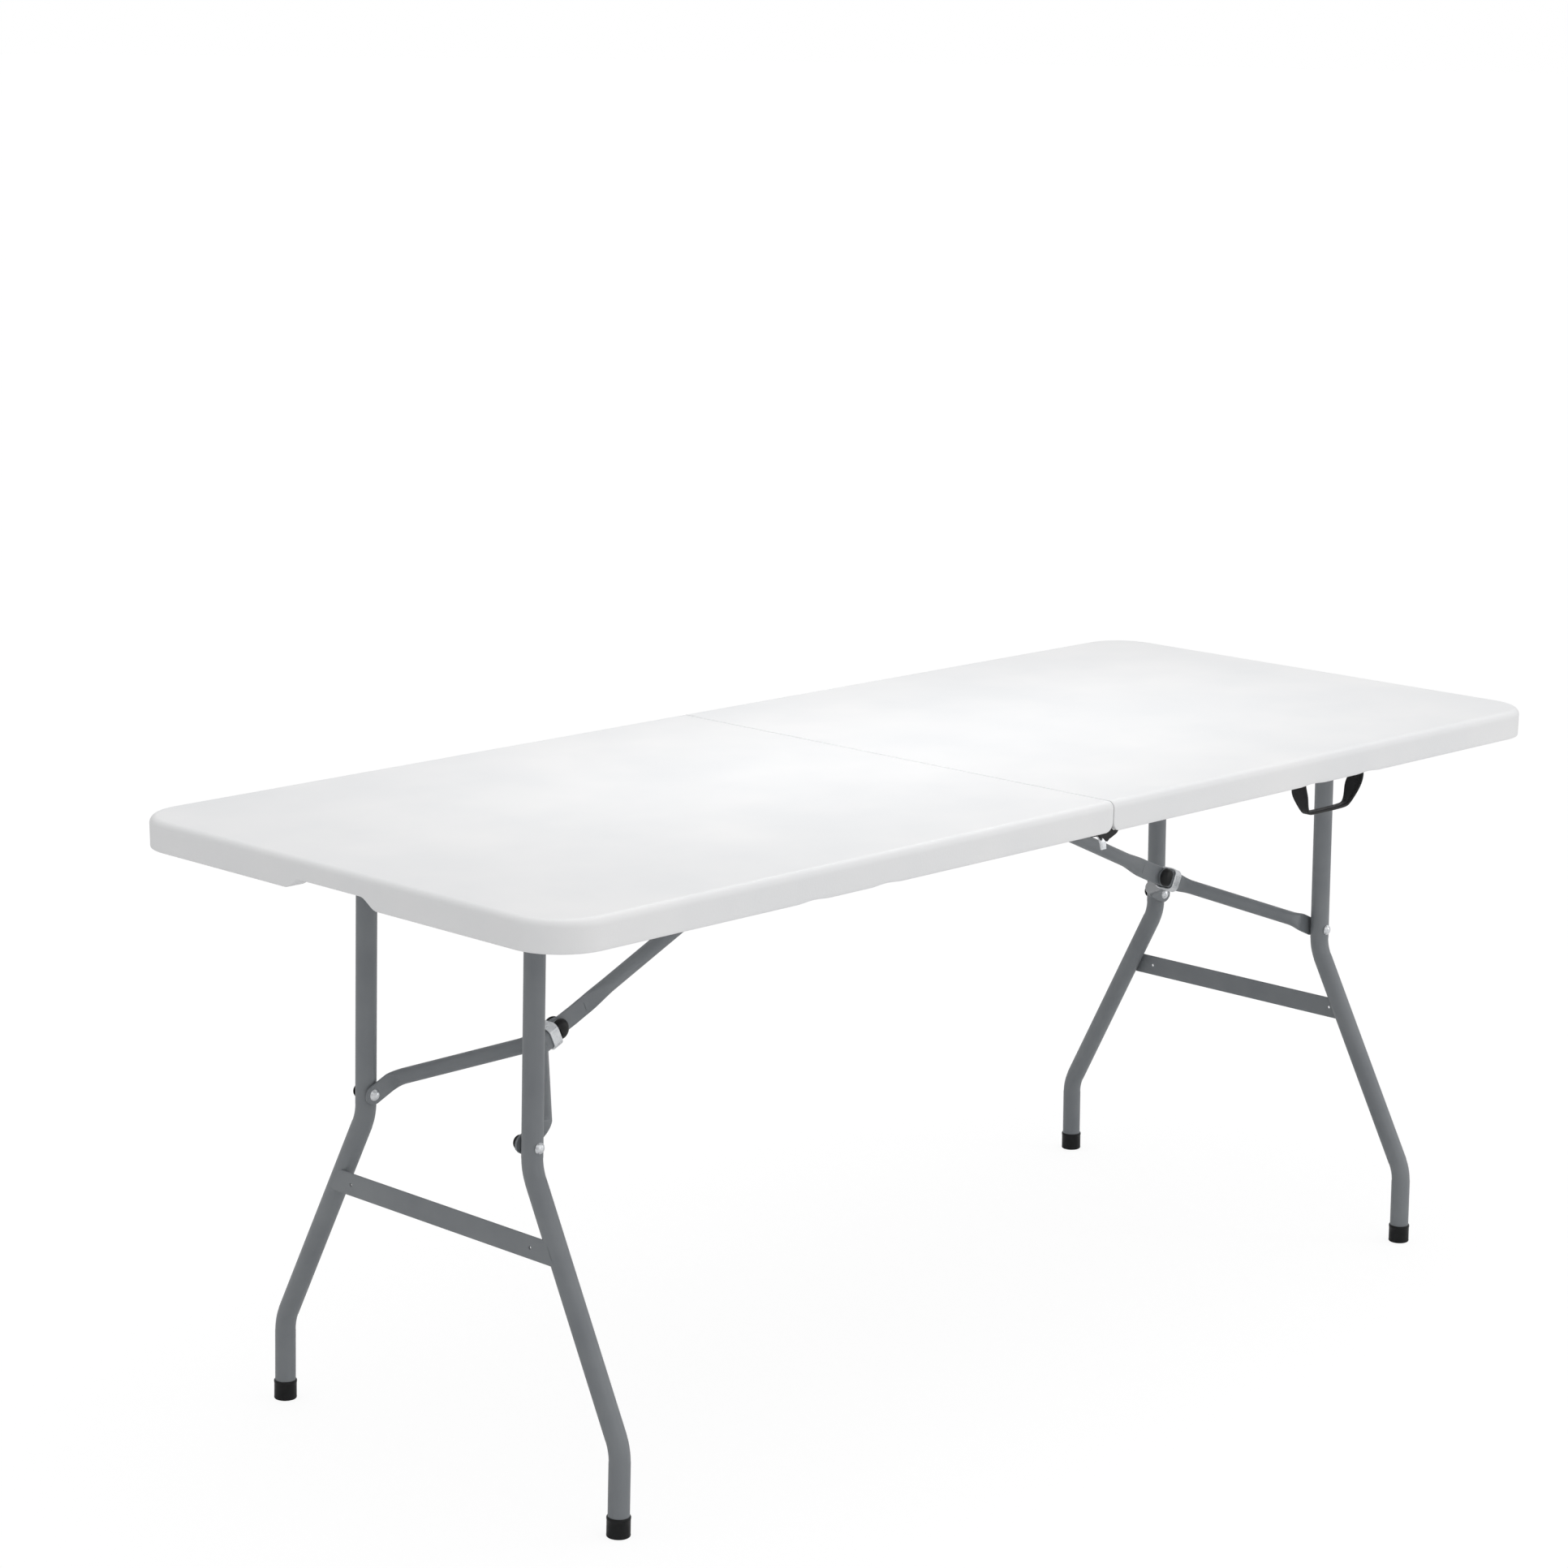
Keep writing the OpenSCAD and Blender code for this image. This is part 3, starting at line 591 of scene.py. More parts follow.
@dataclass
class TableTop(SubAssembly):
    """The two blow-moulded halves, with their rounded edges, notch and reliefs."""

    corner_r: float = 66
    corner_steps: int = 20
    least_corner_r: float = 8
    deck_t: float = 9
    edge_r: float = 9
    edge_steps: int = 12
    seam_edge_r: float = 0.8
    rim_t: float = 25
    seam_wall_t: float = 7.5
    seam_gap: float = 1.9
    seam_corner_r: float = 12
    lift_h: float = 22
    foot_r: float = 1.6
    foot_steps: int = 4
    draft: float = 0.35
    fillet_r: float = 3
    fillet_steps: int = 5
    # each ring on the flat: distance in from the rounded edge, and from the seam
    flat_insets: tuple[tuple[float, float], ...] = ((22, 24), (2, 4))
    # each ring down the outer wall: share of the draft, and height over the rim's foot
    wall_rings: tuple[tuple[float, float], ...] = ((0.3, 22), (0.6, 14), (0.9, 6))
    inner_wall_heights: tuple[float, ...] = (8, 15, 22)
    # where the long and short edges and the seam have points
    near_seam: tuple[float, ...] = (0, 1.2, 2.6, 4.2, 6, 8, 10, 12.5, 16, 22)
    long_marks: tuple[float, ...] = (60, 150, 250, 640, 740)
    end_marks: tuple[int, ...] = (0, 20, 150, 230)
    seam_shares: tuple[float, ...] = (0.9, 0.6, 0.3, 0, -0.3, -0.6, -0.9)
    wave_reach: int = 30
    mark_step: int = 4
    ramp_lead: float = 10
    ramp_marks: int = 12
    lift_margin: float = 4
    notch_d: float = 12.5
    notch_inner: float = 52
    notch_outer: float = 79
    relief_x: tuple[float, float] = (397, 515)
    relief_r: float = 55
    relief_d: float = 1.6
    groove_half: float = 18.5
    groove_x: tuple[float, float] = (40, 635)
    groove_rise: float = 3.5
    groove_slope: float = 1.5
    groove_corner: float = 6
    slot_y: tuple[float, float] = (328.5, 341.7)
    slot_past: float = 1.6
    pitch: float = 34
    dimple_r: float = 7.5
    dimple_h: float = 5
    dimple_sides: int = 12
    # how far the block of dimples stays from the seam wall, the end wall and the long walls
    block_margins: tuple[float, float, float] = (14, 16, 12)
    # metal on the deck: middle and half size, along the table and across it
    rail_y: tuple[float, float] = (323.5, 9)
    saddle: tuple[float, float, float] = (60, 34, 49)
    bracket: tuple[float, float, float, float] = (726, 19, 314, 4)

    def build(self) -> None:
        """Builds both halves from the box of their CAD nodes."""
        for side in Side:
            node = f"{side.word}_top_panel"
            low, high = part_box(node)
            self.half_l = max(abs(low[0]), abs(high[0])) / MM
            self.half_w = high[1] / MM
            self.top_z, self.rim_z = high[2] / MM, low[2] / MM
            self.deck_z = self.top_z - self.deck_t
            maker = MeshMaker()
            self.shell(maker)
            obj = maker.piece(f"{side.word}_moulded_top", side)
            cut(obj, self.slots(side))
            self.place(obj, f"{side.word}_top", Slot.WHITE, node)

    def outline(self, inset: float, seam_inset: float, z: float) -> Ring:
        """One level ring of the half's outline, with points where the rim has detail.

        Args:
            inset: Distance inside the long and short edges.
            seam_inset: Distance from the seam face.
            z: Height of the ring.

        Returns:
            The ring's points.
        """
        r = max(self.corner_r - inset, self.least_corner_r)
        x0, x1, y1 = self.seam_gap / 2 + seam_inset, self.half_l - inset, self.half_w - inset
        base0, base1 = self.seam_gap / 2, self.half_l - self.corner_r
        reach, step = self.wave_reach, self.mark_step
        waves = [c + d for c in self.relief_x for d in range(-reach, reach + 1, step)]
        near = [base0 + s for s in self.near_seam]
        marks = sorted({*near, *self.long_marks, *waves, base1})
        long_x = [blend(x0, x1 - r, (m - base0) / (base1 - base0)) for m in marks]
        ramp = [self.notch_inner - self.ramp_lead + i * step for i in range(self.ramp_marks)]
        ys = sorted({s * v for v in (*ramp, *self.end_marks) for s in (-1, 1)})
        end_y = [y for y in ys if abs(y) < self.half_w - self.corner_r]
        ring: Ring = [(x, -y1, z) for x in long_x]
        for row, centre_y in ((-1, -(y1 - r)), (1, y1 - r)):
            if row > 0:
                ring += [(x1, y, z) for y in end_y]
            for i in range(self.corner_steps + 1):
                a = pi / 2 * i / self.corner_steps
                if row < 0:
                    p = (x1 - r + r * sin(a), centre_y - r * cos(a), z)
                else:
                    p = (x1 - r + r * cos(a), centre_y + r * sin(a), z)
                ring.append(p)
        ring += [(x, y1, z) for x in reversed(long_x)]
        ring += [(x0, y1 * s, z) for s in self.seam_shares]
        return [(x, y, self.lifted(x, y, z)) for x, y, z in ring]

    def lifted(self, x: float, y: float, z: float) -> float:
        """The height of a rim point once the notch, reliefs and seam corner raise the rim's foot.

        Args:
            x: Distance from the middle of the table.
            y: Distance from the centre line.
            z: Height on a straight rim.

        Returns:
            The height on the real rim.
        """
        limit = self.rim_z + self.lift_h
        if z >= limit:
            return z
        rise = 0.0
        s = self.seam_corner_r - (x - self.seam_gap / 2)
        if s > 0:
            rise = self.seam_corner_r - sqrt(max(0.0, self.seam_corner_r**2 - s * s))
        rim = self.rim_t + self.lift_margin
        if x > self.half_l - rim:
            span = self.notch_outer - self.notch_inner
            rise = max(rise, self.notch_d * smooth_step((self.notch_outer - abs(y)) / span))
        if y < -(self.half_w - rim):
            for centre in self.relief_x:
                wave = self.relief_d * smooth_step(1 - abs(x - centre) / (self.relief_r / 2))
                rise = max(rise, wave)
        return limit - (limit - z) * (self.lift_h - rise) / self.lift_h

    def profile(self) -> list[tuple[float, float, float]]:
        """The rim's section from the flat of the top round to the deck's underside.

        Returns:
            Inset from the edges, inset from the seam and height of each ring.
        """
        rings = [(self.edge_r + d, seam, self.top_z) for d, seam in self.flat_insets]
        for i in range(self.edge_steps + 1):
            a = pi / 2 * i / self.edge_steps
            drop = self.edge_r * (1 - cos(a))
            seam = self.seam_edge_r - min(self.seam_edge_r, drop)
            seam_in = self.seam_edge_r - sqrt(self.seam_edge_r**2 - seam * seam)
            rings.append((self.edge_r * (1 - sin(a)), seam_in, self.top_z - drop))
        foot = self.rim_z
        inner = self.rim_t
        wall = self.seam_wall_t
        rings += [(self.draft * share, 0.0, foot + h) for share, h in self.wall_rings]
        turns = [pi / 2 * i / self.foot_steps for i in range(self.foot_steps + 1)]
        for a in turns:
            d = self.foot_r * (1 - cos(a))
            rings.append((self.draft + d, d, foot + self.foot_r * (1 - sin(a))))
        for a in turns:
            d = self.foot_r * (1 - sin(a))
            rings.append((inner - d, wall - d, foot + self.foot_r * (1 - cos(a))))
        rings += [(inner, wall, foot + h) for h in self.inner_wall_heights]
        for i in range(1, self.fillet_steps + 1):
            a = pi / 2 * i / self.fillet_steps
            d = self.fillet_r * (1 - cos(a))
            rings.append((inner + d, wall + d, self.deck_z - self.fillet_r * (1 - sin(a))))
        return rings

    def shell(self, maker: MeshMaker) -> None:
        """Makes the outer skin and the underside with its pattern of kiss-off dimples.

        Args:
            maker: The mesh to add to.
        """
        rings = [self.outline(*r) for r in self.profile()]
        maker.loft(rings, start=True, end=False)
        bm = maker.bm
        bm.verts.ensure_lookup_table()
        count = len(rings[-1])
        rim_loop = list(bm.verts)[-count:]
        block = self.underside(maker)
        loops = [[v.co.copy() for v in rim_loop], [v.co.copy() for v in block]]
        both = rim_loop + block
        for triangle in tessellate_polygon(loops):
            bm.faces.new([both[i] for i in triangle])

    def underside(self, maker: MeshMaker) -> list[bmesh.types.BMVert]:
        """Lays the block of square cells under the deck, each with a dimple unless metal covers it.

        Args:
            maker: The mesh to add to.

        Returns:
            The vertices round the block, in order.
        """
        bm = maker.bm
        off_seam, off_end, off_long = self.block_margins
        x_first = self.seam_wall_t + off_seam
        across = int((self.half_l - self.rim_t - off_end - x_first) / self.pitch)
        deep = int((self.half_w - self.rim_t - off_long) / self.pitch)
        ys = [self.pitch * j for j in range(-deep, deep + 1)]
        xs = [x_first + self.pitch * i for i in range(across + 1)]
        z = self.deck_z
        grid = [[bm.verts.new((x, y, z)) for y in ys] for x in xs]
        for i in range(len(xs) - 1):
            for j in range(len(ys) - 1):
                corners = (grid[i][j], grid[i + 1][j], grid[i + 1][j + 1], grid[i][j + 1])
                mid = (xs[i] + self.pitch / 2, ys[j] + self.pitch / 2)
                if self.covered(*mid):
                    bm.faces.new(corners)
                else:
                    self.dimple(bm, corners, mid)
        ring = [grid[i][0] for i in range(len(xs))]
        ring += [grid[-1][j] for j in range(1, len(ys))]
        ring += [grid[i][-1] for i in range(len(xs) - 2, -1, -1)]
        ring += [grid[0][j] for j in range(len(ys) - 2, 0, -1)]
        return ring

    def covered(self, x: float, y: float) -> bool:
        """Whether a cell has a rail, a bracket, a saddle or the brace groove over it.

        Args:
            x: The cell's middle, from the middle of the table.
            y: The cell's middle, from the centre line.

        Returns:
            True if the cell stays flat.
        """
        reach = self.pitch / 2
        rail_y, rail_half = self.rail_y
        rail = abs(abs(y) - rail_y) < reach + rail_half
        start, end = self.groove_x
        groove = abs(y) < self.groove_half + reach and start - reach < x < end + reach
        at, half_x, half_y = self.saddle
        saddle = abs(x - at) < half_x + reach and abs(y) < half_y + reach
        at, half_x, middle, half_y = self.bracket
        bracket = abs(x - at) < half_x + reach and abs(abs(y) - middle) < reach + half_y
        return rail or groove or saddle or bracket

    def dimple(
        self, bm: bmesh.types.BMesh, corners: Sequence[bmesh.types.BMVert], mid: tuple[float, float]
    ) -> None:
        """Adds one cell whose middle is pressed up towards the top skin.

        Args:
            bm: The mesh.
            corners: The cell's four corners, from its lowest corner round.
            mid: The cell's centre.
        """
        steps, top = self.dimple_sides, self.dimple_h
        levels = ((1.0, 0.0), (0.92, 0.35), (0.84, 1.2), (0.62, top - 0.8), (0.5, top))
        rows = []
        for share, up in levels:
            ring = []
            for i in range(steps):
                a = FULL_TURN * i / steps - 3 * pi / 4
                r = self.dimple_r * share
                p = (mid[0] + r * cos(a), mid[1] + r * sin(a), self.deck_z + up)
                ring.append(bm.verts.new(p))
            rows.append(ring)
        first = rows[0]
        for q in range(4):
            near = [first[(3 * q + k) % steps] for k in (-1, 0, 1)]
            far = first[(3 * q + 2) % steps]
            bm.faces.new((corners[q], near[0], near[1]))
            bm.faces.new((corners[q], near[1], near[2]))
            bm.faces.new((corners[q], near[2], far, corners[(q + 1) % 4]))
        for low, high in zip(rows, rows[1:]):
            for i in range(steps):
                j = (i + 1) % steps
                bm.faces.new((low[i], low[j], high[j], high[i]))
        bm.faces.new(rows[-1])

    def slots(self, side: Side) -> list[bpy.types.Object]:
        """The cutters for the hinge slots and the groove that the shut brace lies in.

        Args:
            side: Which half they cut.

        Returns:
            The cutters.
        """
        cutters = []
        for row in Row:
            low, high = sorted(row.value * y for y in self.slot_y)
            maker = MeshMaker()
            end = self.seam_wall_t + self.slot_past
            maker.loft(box_rings((-1, low, self.rim_z - 1), (end, high, self.deck_z)))
            cutters.append(maker.piece(f"slot_{row.word}", side))
        maker = MeshMaker()
        x0, x1 = self.groove_x
        half, z, slope = self.groove_half, self.deck_z, self.groove_slope
        rings = []
        for grow, up in ((slope, -1.0), (slope, 0.0), (0.0, slope), (0.0, self.groove_rise)):
            rings.append(
                stadium_ring(
                    ((x0 + x1) / 2, 0, z + up),
                    X_AXIS,
                    Y_AXIS,
                    (x1 - x0) / 2 + grow,
                    half + grow,
                    self.groove_corner,
                    24,
                )
            )
        maker.loft(rings)
        cutters.append(maker.piece("groove", side))
        return cutters


# ---------------------------------------------------------------- tubes and plates


@dataclass
class LegFrames(SubAssembly):
    """The four bent legs, the crossbars and the foot caps."""

    pivot_x: float = 726
    pivot_z: float = 716.5
    lean: float = 1.0
    tube_r: float = 12.5
    upper_y: float = 145
    foot_y: float = 295
    upper_bend_h: float = 390
    lower_bend_h: float = 101
    bend_r: float = 60
    bend_steps: int = 12
    squash: float = 0.45
    top_past: float = 4
    sole_t: float = 4
    bar_h: float = 304
    bar_face: float = 28
    bar_out: float = 13
    bar_t: float = 3
    bar_crown: float = 0.9
    bar_steps: int = 10
    bar_edge_steps: int = 6
    bar_shares: tuple[float, ...] = (-1, -0.6, -0.2, 0.2, 0.6, 1)
    drill_past: float = 2
    hole_d: float = 4.5
    hole_inset: float = 33
    cap_r: float = 14
    cap_h: float = 24
    tube_sides: int = 48

    def __post_init__(self) -> None:
        """Works out the distances down the leg from its pivot."""
        self.tilt = radians(self.lean)
        self.leg_l = self.down(0)
        self.upper_bend = self.down(self.upper_bend_h)
        self.lower_bend = self.down(self.lower_bend_h)
        self.splay = atan((self.foot_y - self.upper_y) / (self.lower_bend - self.upper_bend))
        pivot = Matrix.Translation((self.pivot_x, 0, self.pivot_z))
        self.frame = pivot @ Matrix.Rotation(-self.tilt, 4, "Y")

    def down(self, height: float) -> float:
        """Distance along the leaning leg from its pivot to a height above the floor."""
        return (self.pivot_z - height) / cos(self.tilt)

    def y_at(self, d: float) -> float:
        """Distance of the sloping leg from the centre line, d down from the pivot."""
        return self.upper_y + (d - self.upper_bend) * tan(self.splay)

    def build(self) -> None:
        """Builds the parts of both leg frames."""
        for side in Side:
            body = f"{side.word}_leg_frame"
            for row in Row:
                maker = MeshMaker()
                self.leg(maker, row)
                obj = maker.piece(f"{side.word}_{row.word}_leg", side)
                self.place(obj, body, Slot.GREY, f"{side.word}_{row.word}_leg_tube")
            obj = self.crossbar(side)
            self.place(obj, body, Slot.GREY, f"{side.word}_crossbar")
            maker = MeshMaker()
            for row in Row:
                self.foot_cap(maker, row)
            obj = maker.piece(f"{side.word}_feet", side)
            self.place(obj, body, Slot.BLACK, f"{side.word}_foot_caps")

    def stations(self) -> list[tuple[float, float, float]]:
        """Centre line of a leg: distance from the centre line, distance down, and slope.

        Returns:
            The stations from the pivot to the foot.
        """
        out = [(self.upper_y, -self.top_past, 0.0), (self.upper_y, self.upper_bend / 2, 0.0)]
        set_back = self.bend_r * tan(self.splay / 2)
        steps = self.bend_steps
        for i in range(steps + 1):
            a = self.splay * i / steps
            y = self.upper_y + self.bend_r * (1 - cos(a))
            out.append((y, self.upper_bend - set_back + self.bend_r * sin(a), a))
        for i in range(steps, -1, -1):
            a = self.splay * i / steps
            y = self.foot_y - self.bend_r * (1 - cos(a))
            out.append((y, self.lower_bend + set_back - self.bend_r * sin(a), a))
        out.append((self.foot_y, self.leg_l - self.sole_t, 0.0))
        return out

    def leg(self, maker: MeshMaker, row: Row) -> None:
        """Sweeps one tube down its stations, slightly squashed where it is bent.

        Args:
            maker: The mesh to add to.
            row: Which leg.
        """
        rings = []
        for y, d, a in self.stations():
            bent = self.squash if 0 < a < self.splay else 0.0
            across = Vector((0, row.value * cos(a), sin(a)))
            ring = ellipse_ring(
                (0, row.value * y, -d),
                X_AXIS,
                across,
                self.tube_r,
                self.tube_r - bent,
                self.tube_sides,
            )
            rings.append(ring)
        maker.loft(rings, self.frame)

    def crossbar(self, side: Side) -> bpy.types.Object:
        """The flattened tube across both legs, its ends cut to their slope.

        Args:
            side: Which leg frame.

        Returns:
            The crossbar with its two holes.
        """
        at = self.down(self.bar_h)
        mid, half = self.y_at(at), self.bar_face / 2
        section = []
        steps, turns = self.bar_steps, self.bar_edge_steps
        edge_r = (self.bar_t - self.bar_crown) / 2
        for i in range(steps + 1):
            t = -1 + 2 * i / steps
            section.append((self.bar_out - self.bar_crown * t * t, t * (half - edge_r)))
        middle_x = self.bar_out - self.bar_crown - edge_r
        for i in range(1, turns):
            a = pi * i / turns
            section.append((middle_x + edge_r * cos(a), half - edge_r + edge_r * sin(a)))
        for i in range(steps + 1):
            t = 1 - 2 * i / steps
            section.append((self.bar_out - self.bar_t, t * (half - edge_r)))
        for i in range(1, turns):
            a = pi + pi * i / turns
            section.append((middle_x + edge_r * cos(a), -(half - edge_r) + edge_r * sin(a)))
        rings = []
        for share in self.bar_shares:
            ring = []
            for x, h in section:
                y = share * (mid - h * tan(self.splay))
                ring.append((x, y, h - at))
            rings.append(ring)
        maker = MeshMaker()
        maker.loft(rings, self.frame)
        obj = maker.piece(f"{side.word}_flattened_crossbar", side)
        drills = []
        for row in Row:
            drill = MeshMaker()
            past = self.drill_past
            spot = (self.bar_out - self.bar_t - past, row.value * (mid - self.hole_inset), -at)
            place = self.frame @ Matrix.Translation(spot) @ Matrix.Rotation(pi / 2, 4, "Y")
            r = self.hole_d / 2
            drill.lathe([(r, 0), (r, self.bar_t + 2 * past)], place, 24)
            drills.append(drill.piece(f"drill_{row.word}", side))
        cut(obj, drills)
        return obj

    def foot_cap(self, maker: MeshMaker, row: Row) -> None:
        """Turns one cap with a rolled lip and a soft sole, its sole level with the floor.

        Args:
            maker: The mesh to add to.
            row: Which foot.
        """
        r, h, wall = self.cap_r, self.cap_h, self.cap_r - self.tube_r
        # radius and height of each ring, from the sole up to the lip
        profile = [
            (r - 2.2, 0.0),
            (r - 0.9, 0.25),
            (r - 0.3, 0.9),
            (r - 0.15, 2.2),
            (r - 0.35, 2.8),
            (r - 0.35, h - 4.2),
            (r - 0.1, h - 3.4),
            (r, h - 2.4),
            (r, h - 1.2),
            (r - 0.35, h - 0.35),
            (r - 0.9, h),
            (r - wall, h - 0.1),
        ]
        start = len(maker.bm.verts)
        spot = self.frame @ Matrix.Translation((0, row.value * self.foot_y, -self.leg_l))
        maker.lathe(profile, spot)
        maker.bm.verts.ensure_lookup_table()
        sole = start + self.tube_sides
        for i, v in enumerate(maker.bm.verts[start:], start):
            v.co.z = 0.0 if i < sole else max(v.co.z, 0.05)


@dataclass
class Braces(SubAssembly):
    """The upper braces, the forked arms, the knuckle covers and the lock rings."""

    anchor_x: float = 60
    anchor_z: float = 717.5
    link_l: float = 550.936
    arm_l: float = 184.484
    angle: float = 24.117
    tube_r: float = 9.5
    plate_half_h: float = 12.6
    plate_half_t: float = 1.5
    plate_end: float = 32
    lead: float = 48
    blend_l: float = 46
    blend_steps: int = 14
    # stations of the upper brace: on the round tube, before the press, and on the flat
    round_marks: tuple[float, ...] = (-400, -250)
    press_marks: tuple[float, ...] = (30, 8)
    flat_marks: tuple[float, ...] = (1.5, 20, 40)
    crease_half: float = 7
    bolt_d: float = 6.2
    tongue_y: float = 1.9
    tongue_t: float = 4
    tongue_back: float = 12
    oval_half_t: float = 5.75
    oval_from: float = 6
    oval_to: float = 26
    tip_y: float = 128.5
    tip_t: float = 3
    turn_far: float = 158.5
    arm_half_h: float = 12
    # stations of an arm, as shares of its tongue, its straight run and its rounded tip
    tongue_shares: tuple[float, ...] = (1, 0.92, 0.7, 0.4)
    run_shares: tuple[float, ...] = (0.33, 0.66, 0.9, 1.0)
    tip_shares: tuple[float, ...] = (-0.35, 0.0, 0.4, 0.7, 0.88, 0.97, 1.0)
    tongue_past: float = 3
    tongue_corner: float = 1.2
    tongue_least_h: float = 2.2
    oval_short: float = 4
    oval_corners: tuple[float, float] = (5.6, 5.7)
    turn_l: float = 20
    turn_steps: int = 8
    turn_give: float = 0.62
    press_l: float = 16
    press_past: float = 3
    press_steps: int = 10
    press_give: float = 0.55
    press_corner: float = 1.4
    tip_corner: float = 1.3
    tip_least_h: float = 1.6
    drill_l: float = 8
    knuckle_drill_l: float = 12
    cap_r: float = 12.9
    cap_side: float = 5.5
    # share of the flat side's distance at the dome's top, and what it gains by the rim
    cap_side_shares: tuple[float, float] = (0.55, 0.45)
    cap_t: float = 7.5
    cap_steps: int = 9
    cap_end: float = 0.97
    cap_power: float = 0.7
    ring_from: float = 7
    ring_l: float = 14
    ring_bore: float = 27
    ring_wall: float = 2
    sides: int = 40

    def __post_init__(self) -> None:
        """Works out where the knuckle is, with +X from it towards the leg."""
        self.frame = (
            Matrix.Translation((self.anchor_x, 0, self.anchor_z))
            @ Matrix.Rotation(radians(self.angle), 4, "Y")
            @ Matrix.Translation((self.link_l, 0, 0))
        )

    def build(self) -> None:
        """Builds both braces."""
        for side in Side:
            word = side.word
            upper, lower = f"{word}_upper_brace_link", f"{word}_lower_brace_link"
            self.place(self.upper_brace(side), upper, Slot.GREY, f"{word}_upper_brace")
            for row in Row:
                node = f"{word}_{row.word}_brace_arm"
                self.place(self.arm(side, row), lower, Slot.GREY, node)
            self.place(self.knuckle_covers(side), lower, Slot.BLACK, f"{word}_knuckle_caps")
            self.place(self.lock_ring(side), f"{word}_ring", Slot.ZINC, f"{word}_lock_ring")

    def upper_brace(self, side: Side) -> bpy.types.Object:
        """A round tube pressed flat towards the knuckle, with the creases the press leaves.

        Args:
            side: Which brace.

        Returns:
            The brace.
        """
        start = -(self.lead + self.blend_l)
        rings = []
        begin = -self.link_l + self.tube_r * 0.6
        stations = [begin, *self.round_marks, *(start - d for d in self.press_marks)]
        steps = self.blend_steps
        stations += [start + self.blend_l * i / steps for i in range(steps + 1)]
        stations += [*(-self.lead + d for d in self.flat_marks), 0.0]
        stations += [self.plate_end - d for d in (3, 1, 0)]
        for u in stations:
            t = smooth_step((u - start) / self.blend_l)
            spread = smooth_step((u - start) / (self.blend_l * 0.9))
            half_h = blend(self.tube_r, self.plate_half_h, spread)
            half_t = blend(self.tube_r, self.plate_half_t, t)
            # the press drops the tube's lower line further than its upper line rises
            drop = -0.35 * (half_h - self.tube_r)
            if u > self.plate_end - 2:
                half_h -= 1.2 * (u - self.plate_end + 2)
            if u >= -self.lead + 30:
                drop = blend(drop, 0, smooth_step((u + 18) / 18))
            section = stadium_ring(
                (u, 0, drop),
                Y_AXIS,
                Z_AXIS,
                half_t,
                half_h,
                max(half_t, min(self.tube_r, blend(self.tube_r, 1.5, t))),
                self.sides,
            )
            rings.append(section)
        maker = MeshMaker()
        maker.loft(rings, self.frame)
        obj = maker.piece(f"{side.word}_pressed_brace", side)
        cutters = [self.crease(side, row) for row in Row]
        length = self.knuckle_drill_l
        cutters.append(self.bolt_drill(side, "knuckle_drill", (0, -length / 2, 0), length))
        cut(obj, cutters, radians(24))
        return obj

    def crease(self, side: Side, row: Row) -> bpy.types.Object:
        """A short groove across the flat, where the edge of the press bit into the tube.

        Args:
            side: Which brace.
            row: Which face.

        Returns:
            The cutter.
        """
        maker = MeshMaker()
        out = row.value * (self.plate_half_t + 0.1)
        half = self.crease_half
        rings = []
        for h in (-half, -half * 0.6, half * 0.6, half):
            deep = 0.9 if abs(h) < half else 0.15
            ring = [
                (-self.lead - 1.6, out + row.value * 0.4, h - 2),
                (-self.lead + 0.2, out - row.value * deep, h - 2),
                (-self.lead + 1.6, out + row.value * 0.4, h - 2),
            ]
            rings.append(ring)
        maker.loft(rings, self.frame)
        return maker.piece(f"crease_{row.word}", side)

    def bolt_drill(self, side: Side, name: str, start: Point, length: float) -> bpy.types.Object:
        """A cutter along Y for a bolt hole.

        Args:
            side: Which brace.
            name: The cutter's name.
            start: Where it begins, from the knuckle.
            length: Its length.

        Returns:
            The cutter.
        """
        maker = MeshMaker()
        turn = Matrix.Rotation(-pi / 2, 4, "X")
        r = self.bolt_d / 2
        maker.lathe([(r, 0), (r, length)], self.frame @ Matrix.Translation(start) @ turn, 24)
        return maker.piece(name, side)

    def arm(self, side: Side, row: Row) -> bpy.types.Object:
        """One forked arm: flat tongue, oval, round tube turned outward, and pressed tip.

        Args:
            side: Which brace.
            row: Which arm.

        Returns:
            The arm.
        """
        oval_y = self.tongue_y + self.oval_half_t
        tongue_y = self.tongue_y + self.tongue_t / 2
        tip_y = self.tip_y + self.tip_t / 2
        run = Vector((self.turn_far - self.oval_to, tip_y - oval_y, 0))
        slope = atan2(run.y, run.x)
        back = self.tongue_back
